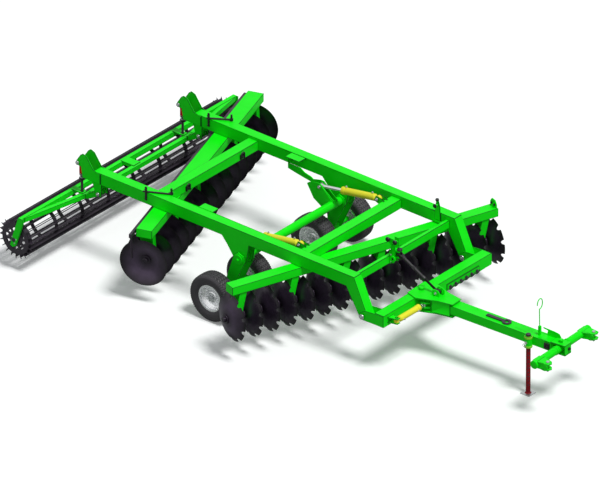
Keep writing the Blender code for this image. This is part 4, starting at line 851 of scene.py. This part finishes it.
# The mast has a cheek plate with two black knobs, a boss with a dark eye, and a back plate held
# by four bolts.
eye = at(3.816, -0.222, 1.005)
outline = [(3728, 1222), (3800, 1190), (3886, 1218), (3892, 1262), (3728, 1268)]
shapes = [plate(outline, at(0, -0.227, 0), AHEAD, 9),
          turned([(-3, 16), (-3, 40), (8, 40), (11, 36), (11, 16)], eye, -LEFT, 40, closed=True)]
piece("mast_cheek", "frame", shapes, green)
shapes = [turned([(-2, 4), (-2, 16.5), (7, 16.5), (7, 4)], eye, -LEFT)]
shapes += [turned([(-1, 10), (2, 26), (16, 29), (24, 25), (27, 8)], at(x, -0.2315, z), -LEFT)
           for x, z in ((3.757, 1.246), (3.860, 1.240))]
shapes += [turned([(0, 6), (0, 32), (14, 34), (22, 28), (22, 6)], at(3.880, -0.180, seat), way)
           for way, seat in ((UP, 1.1195), (-UP, 1.0305))]
piece("mast_knobs", "frame", shapes, black)
piece("mast_bolts", "frame", bolt_heads([at(3.7895, y, z) for y in (-0.230, -0.130)
                                         for z in (0.965, 1.055)], AHEAD, 13, 8), zinc)

# Cheeks over the clevis plates of the drawbar's head hold the lower pin.
outline = [(-50, -30), (56, -30), (56, 18), (30, 44), (-28, 44), (-50, 18)]
piece("clevis_cheeks", "towbar", [plate(outline, low + way * 0.0445, AHEAD, 12.5)
                                  for way in (-LEFT, LEFT)], green)
pin_heads("link_pin_heads", "towbar", [low], 0.0525, 12, 16)


# ---- Pins of the beams -------------------------------------------------------------------
# Hexagon heads close the pins of the struts, the roller arms and the lift cylinders, two U-bolts
# clamp the rear cross tube, and black fluted knobs close the hose stand.
pin_heads("beam_pin_heads", "frame", [at(x, y, z) for y in (BEAM_Y, -BEAM_Y)
                                      for x, z in ((0.068, 0.815), (-0.234, 1.120))], 0.0845, 15, 18)
for name, body, x, z in (("lift", "frame", 2.850, 1.054), ("lever", "axle", 1.9995, 0.912)):
    pin_heads(name + "_pin_heads", body, [at(x, y, z) for y in (0.690, -0.690)], 0.0445, 13, 18)

# Each U-bolt is a half round with two straight legs, over a plate and a nut.
turn = np.linspace(0, np.pi, 24)
bend = np.stack([0 * turn, 0.030 * np.cos(turn), 0.058 + 0.030 * np.sin(turn)], axis=1)
hoop = np.vstack([[(0, 0.030, 0)], bend, [(0, -0.030, 0)]])
shapes = []
for y in (-0.42, 0.54):
    shapes.append(swept(at(0.961, y, 0.952) + hoop, 0.0075, AHEAD))
    shapes.append(plate(oblong(40, -30, 28), at(0.9475, y, 0.985), LEFT, 8))
    shapes += bolt_heads([at(0.9515, y, 0.985)], AHEAD, 22, 12)
piece("cross_tube_clamps", "frame", shapes, black)


def fluted(angle):
    """The share of a knob's radius at an angle: it ripples eight times in a turn."""
    return 1 + 0.06 * np.cos(8 * angle)


shapes = [turned([(-4, 12), (0, 20), (18, 21), (24, 16), (25, 4)], at(3.6075, 0.8135, 1.242), UP,
                 48, fluted),
          turned([(-4, 10), (0, 24), (12, 26), (16, 20), (17, 4)], at(3.6075, 0.777, 1.188), -LEFT,
                 48, fluted)]
piece("hose_stand_knobs", "frame", shapes, black)


# ---- Struts ------------------------------------------------------------------------------
# Each strut holds the roller down: a threaded rod hangs from the beam's ear and runs through a
# red coil spring and a seat washer to nuts under the roller frame.
spring_red = enamel("red_spring_paint", "red_enamel", "#D21E18")


def strut(side, across, turns=7.0, wire=0.0078):
    """Turned rod with thread; the spring is a wire carried on a helix of even pitch."""
    eye = at(-0.234, across, 1.120)
    steps = np.arange(180, 470, 2.5)
    thread = np.stack([steps, np.where(np.arange(len(steps)) % 2, 15.0, 13.4)], axis=1)
    seat = [(224, 15), (224.5, 33.5), (228, 34), (236, 34), (239.5, 33.5), (240, 15)]
    rod = np.vstack([[(10, 10), (30, 13), (34, 15)], thread[steps < 224], seat,
                     thread[steps >= 240], [(474, 13), (479, 10)]])
    shapes = [turned(rod, eye, -UP, 24),
              turned(mirrored([(20, 15.5), (20, 28), (18, 30)]), eye, LEFT, 40, closed=True)]
    piece("strut_thread_" + side, "strut_" + side, shapes, black, 35, replaces="strut_rod_" + side)
    turn = np.linspace(0, turns * 2 * np.pi, int(turns * 36))
    height = np.interp(turn, [0, 4, turn[-1] - 4, turn[-1]],
                       [-0.1745 + wire, -0.1745 + 2.2 * wire, -0.0465 - 2.2 * wire, -0.0465 - wire])
    radial = np.stack([np.cos(turn), np.sin(turn), 0 * turn], axis=1)
    piece("coil_spring_" + side, "strut_" + side,
          [swept(eye + 0.0242 * radial + height[:, None] * UP, wire, radial)], spring_red, 40,
          replaces="strut_spring_" + side)
    washers = [turned([(0, 15), (0, wide), (thick, wide), (thick, 15)], eye - drop * UP, -UP)
               for drop, thick, wide in ((0.0440, 4, 31), (0.1750, 5, 34), (0.2020, 4, 28))]
    nuts = bolt_heads([eye - 0.222 * UP], UP, 36, 16) + bolt_heads([eye - 0.448 * UP], -UP, 36, 18)
    piece("strut_washers_" + side, "strut_" + side, washers + nuts, zinc)


strut("left", BEAM_Y)
strut("right", -BEAM_Y)


# ---- Roller frame ------------------------------------------------------------------------
# Two square tubes and angled end arms carry the roller behind the beams, painted green.  A
# flanged bearing is bolted inside each end arm.
dress(["roller_frame"], green, 0.004, painted_edge_shade)
roller_middle, roller_axis = pivot("roller_turn")

bearings, bolts = [], []
for way in (-roller_axis, roller_axis):
    bearings.append(turned([(0, 26), (0, 52), (8, 52), (10, 44), (14, 42), (14, 26)],
                           roller_middle + way * 1.8885, -way, 48, closed=True))
    bolts += bolt_heads([roller_middle + way * 1.9020
                         + 0.042 * np.array([math.cos(turn), 0, math.sin(turn)])
                         for turn in np.arange(4) * math.pi / 2 + 0.4], way, 14, 4)
piece("roller_bearings", "roller_carrier", bearings, black)
piece("roller_bearing_bolts", "roller_carrier", bolts, zinc)


# ---- Cage roller -------------------------------------------------------------------------
# Twenty flat bars stand on edge round nine hoops, and a windowed disc closes each end round the
# hub.  The cage is hot-rolled steel, left black, which soil keeps slightly polished.
CAGE_RADIUS, CAGE_HALF, BAR_FOOT, BAR_THICK, TOOTH_TIP = 232.8, 1870, 197, 9, 249.5
HOOP_WIDE, HOOPS, BARS, WINDOWS = 50, 9, 20, 10
cage_steel = dark_steel("hot_rolled_cage_steel", "#1B1A1C", 0.42, 0.35)


def radial_box(face, turn, radii, across, along):
    """A box on a wheel: between two radii at a turn, so wide across and so long along."""
    out = np.array([math.cos(turn), 0.0, math.sin(turn)])
    return prism(oblong(across, *along), [face + out * radius / 1000 for radius in radii],
                 np.cross(roller_axis, out), roller_axis)


def end_disc(face, end):
    """Hub, inner and outer plate rings, and spokes that leave the windows between them."""
    hub = [(-90, 6), (-90, 48), (-14, 48), (-14, 98), (-4, 98), (-2, 94), (-2, 24.8), (33.5, 24.8),
           (35, 22), (35.2, 4)]
    shapes = [turned([(-12, 142), (-12, BAR_FOOT), (-2, BAR_FOOT), (-2, 142)], face,
                     roller_axis * end, 96, closed=True), turned(hub, face, roller_axis * end, 48)]
    depth = sorted((-11.5 * end, -3.5 * end))
    return shapes + [radial_box(face, (number + 0.3) * 2 * math.pi / WINDOWS, (90, 150), 17, depth)
                     for number in range(WINDOWS)]


hoop = [(0, 189), (0, BAR_FOOT + 1), (HOOP_WIDE, BAR_FOOT + 1), (HOOP_WIDE, 189)]
shapes = [turned(hoop, roller_middle + roller_axis * place / 1000, roller_axis, 96, closed=True)
          for place in np.linspace(-CAGE_HALF + 16, CAGE_HALF - HOOP_WIDE - 16, HOOPS)]
for turn in (np.arange(BARS) + 0.11) * 2 * math.pi / BARS:
    shapes.append(radial_box(roller_middle, turn, (BAR_FOOT - 2, CAGE_RADIUS), BAR_THICK / 2,
                             (-CAGE_HALF, CAGE_HALF)))
    for end in (-1, 1):
        tip = roller_middle + roller_axis * end * (CAGE_HALF - 4) / 1000
        shapes.append(radial_box(tip, turn, (CAGE_RADIUS - 2, TOOTH_TIP), 3.5, (-3.5, 3.5)))
for end in (-1, 1):
    shapes += end_disc(roller_middle + roller_axis * end * CAGE_HALF / 1000, end)
piece("cage_roller", "roller_drum", shapes, cage_steel, replaces="roller")


low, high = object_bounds()
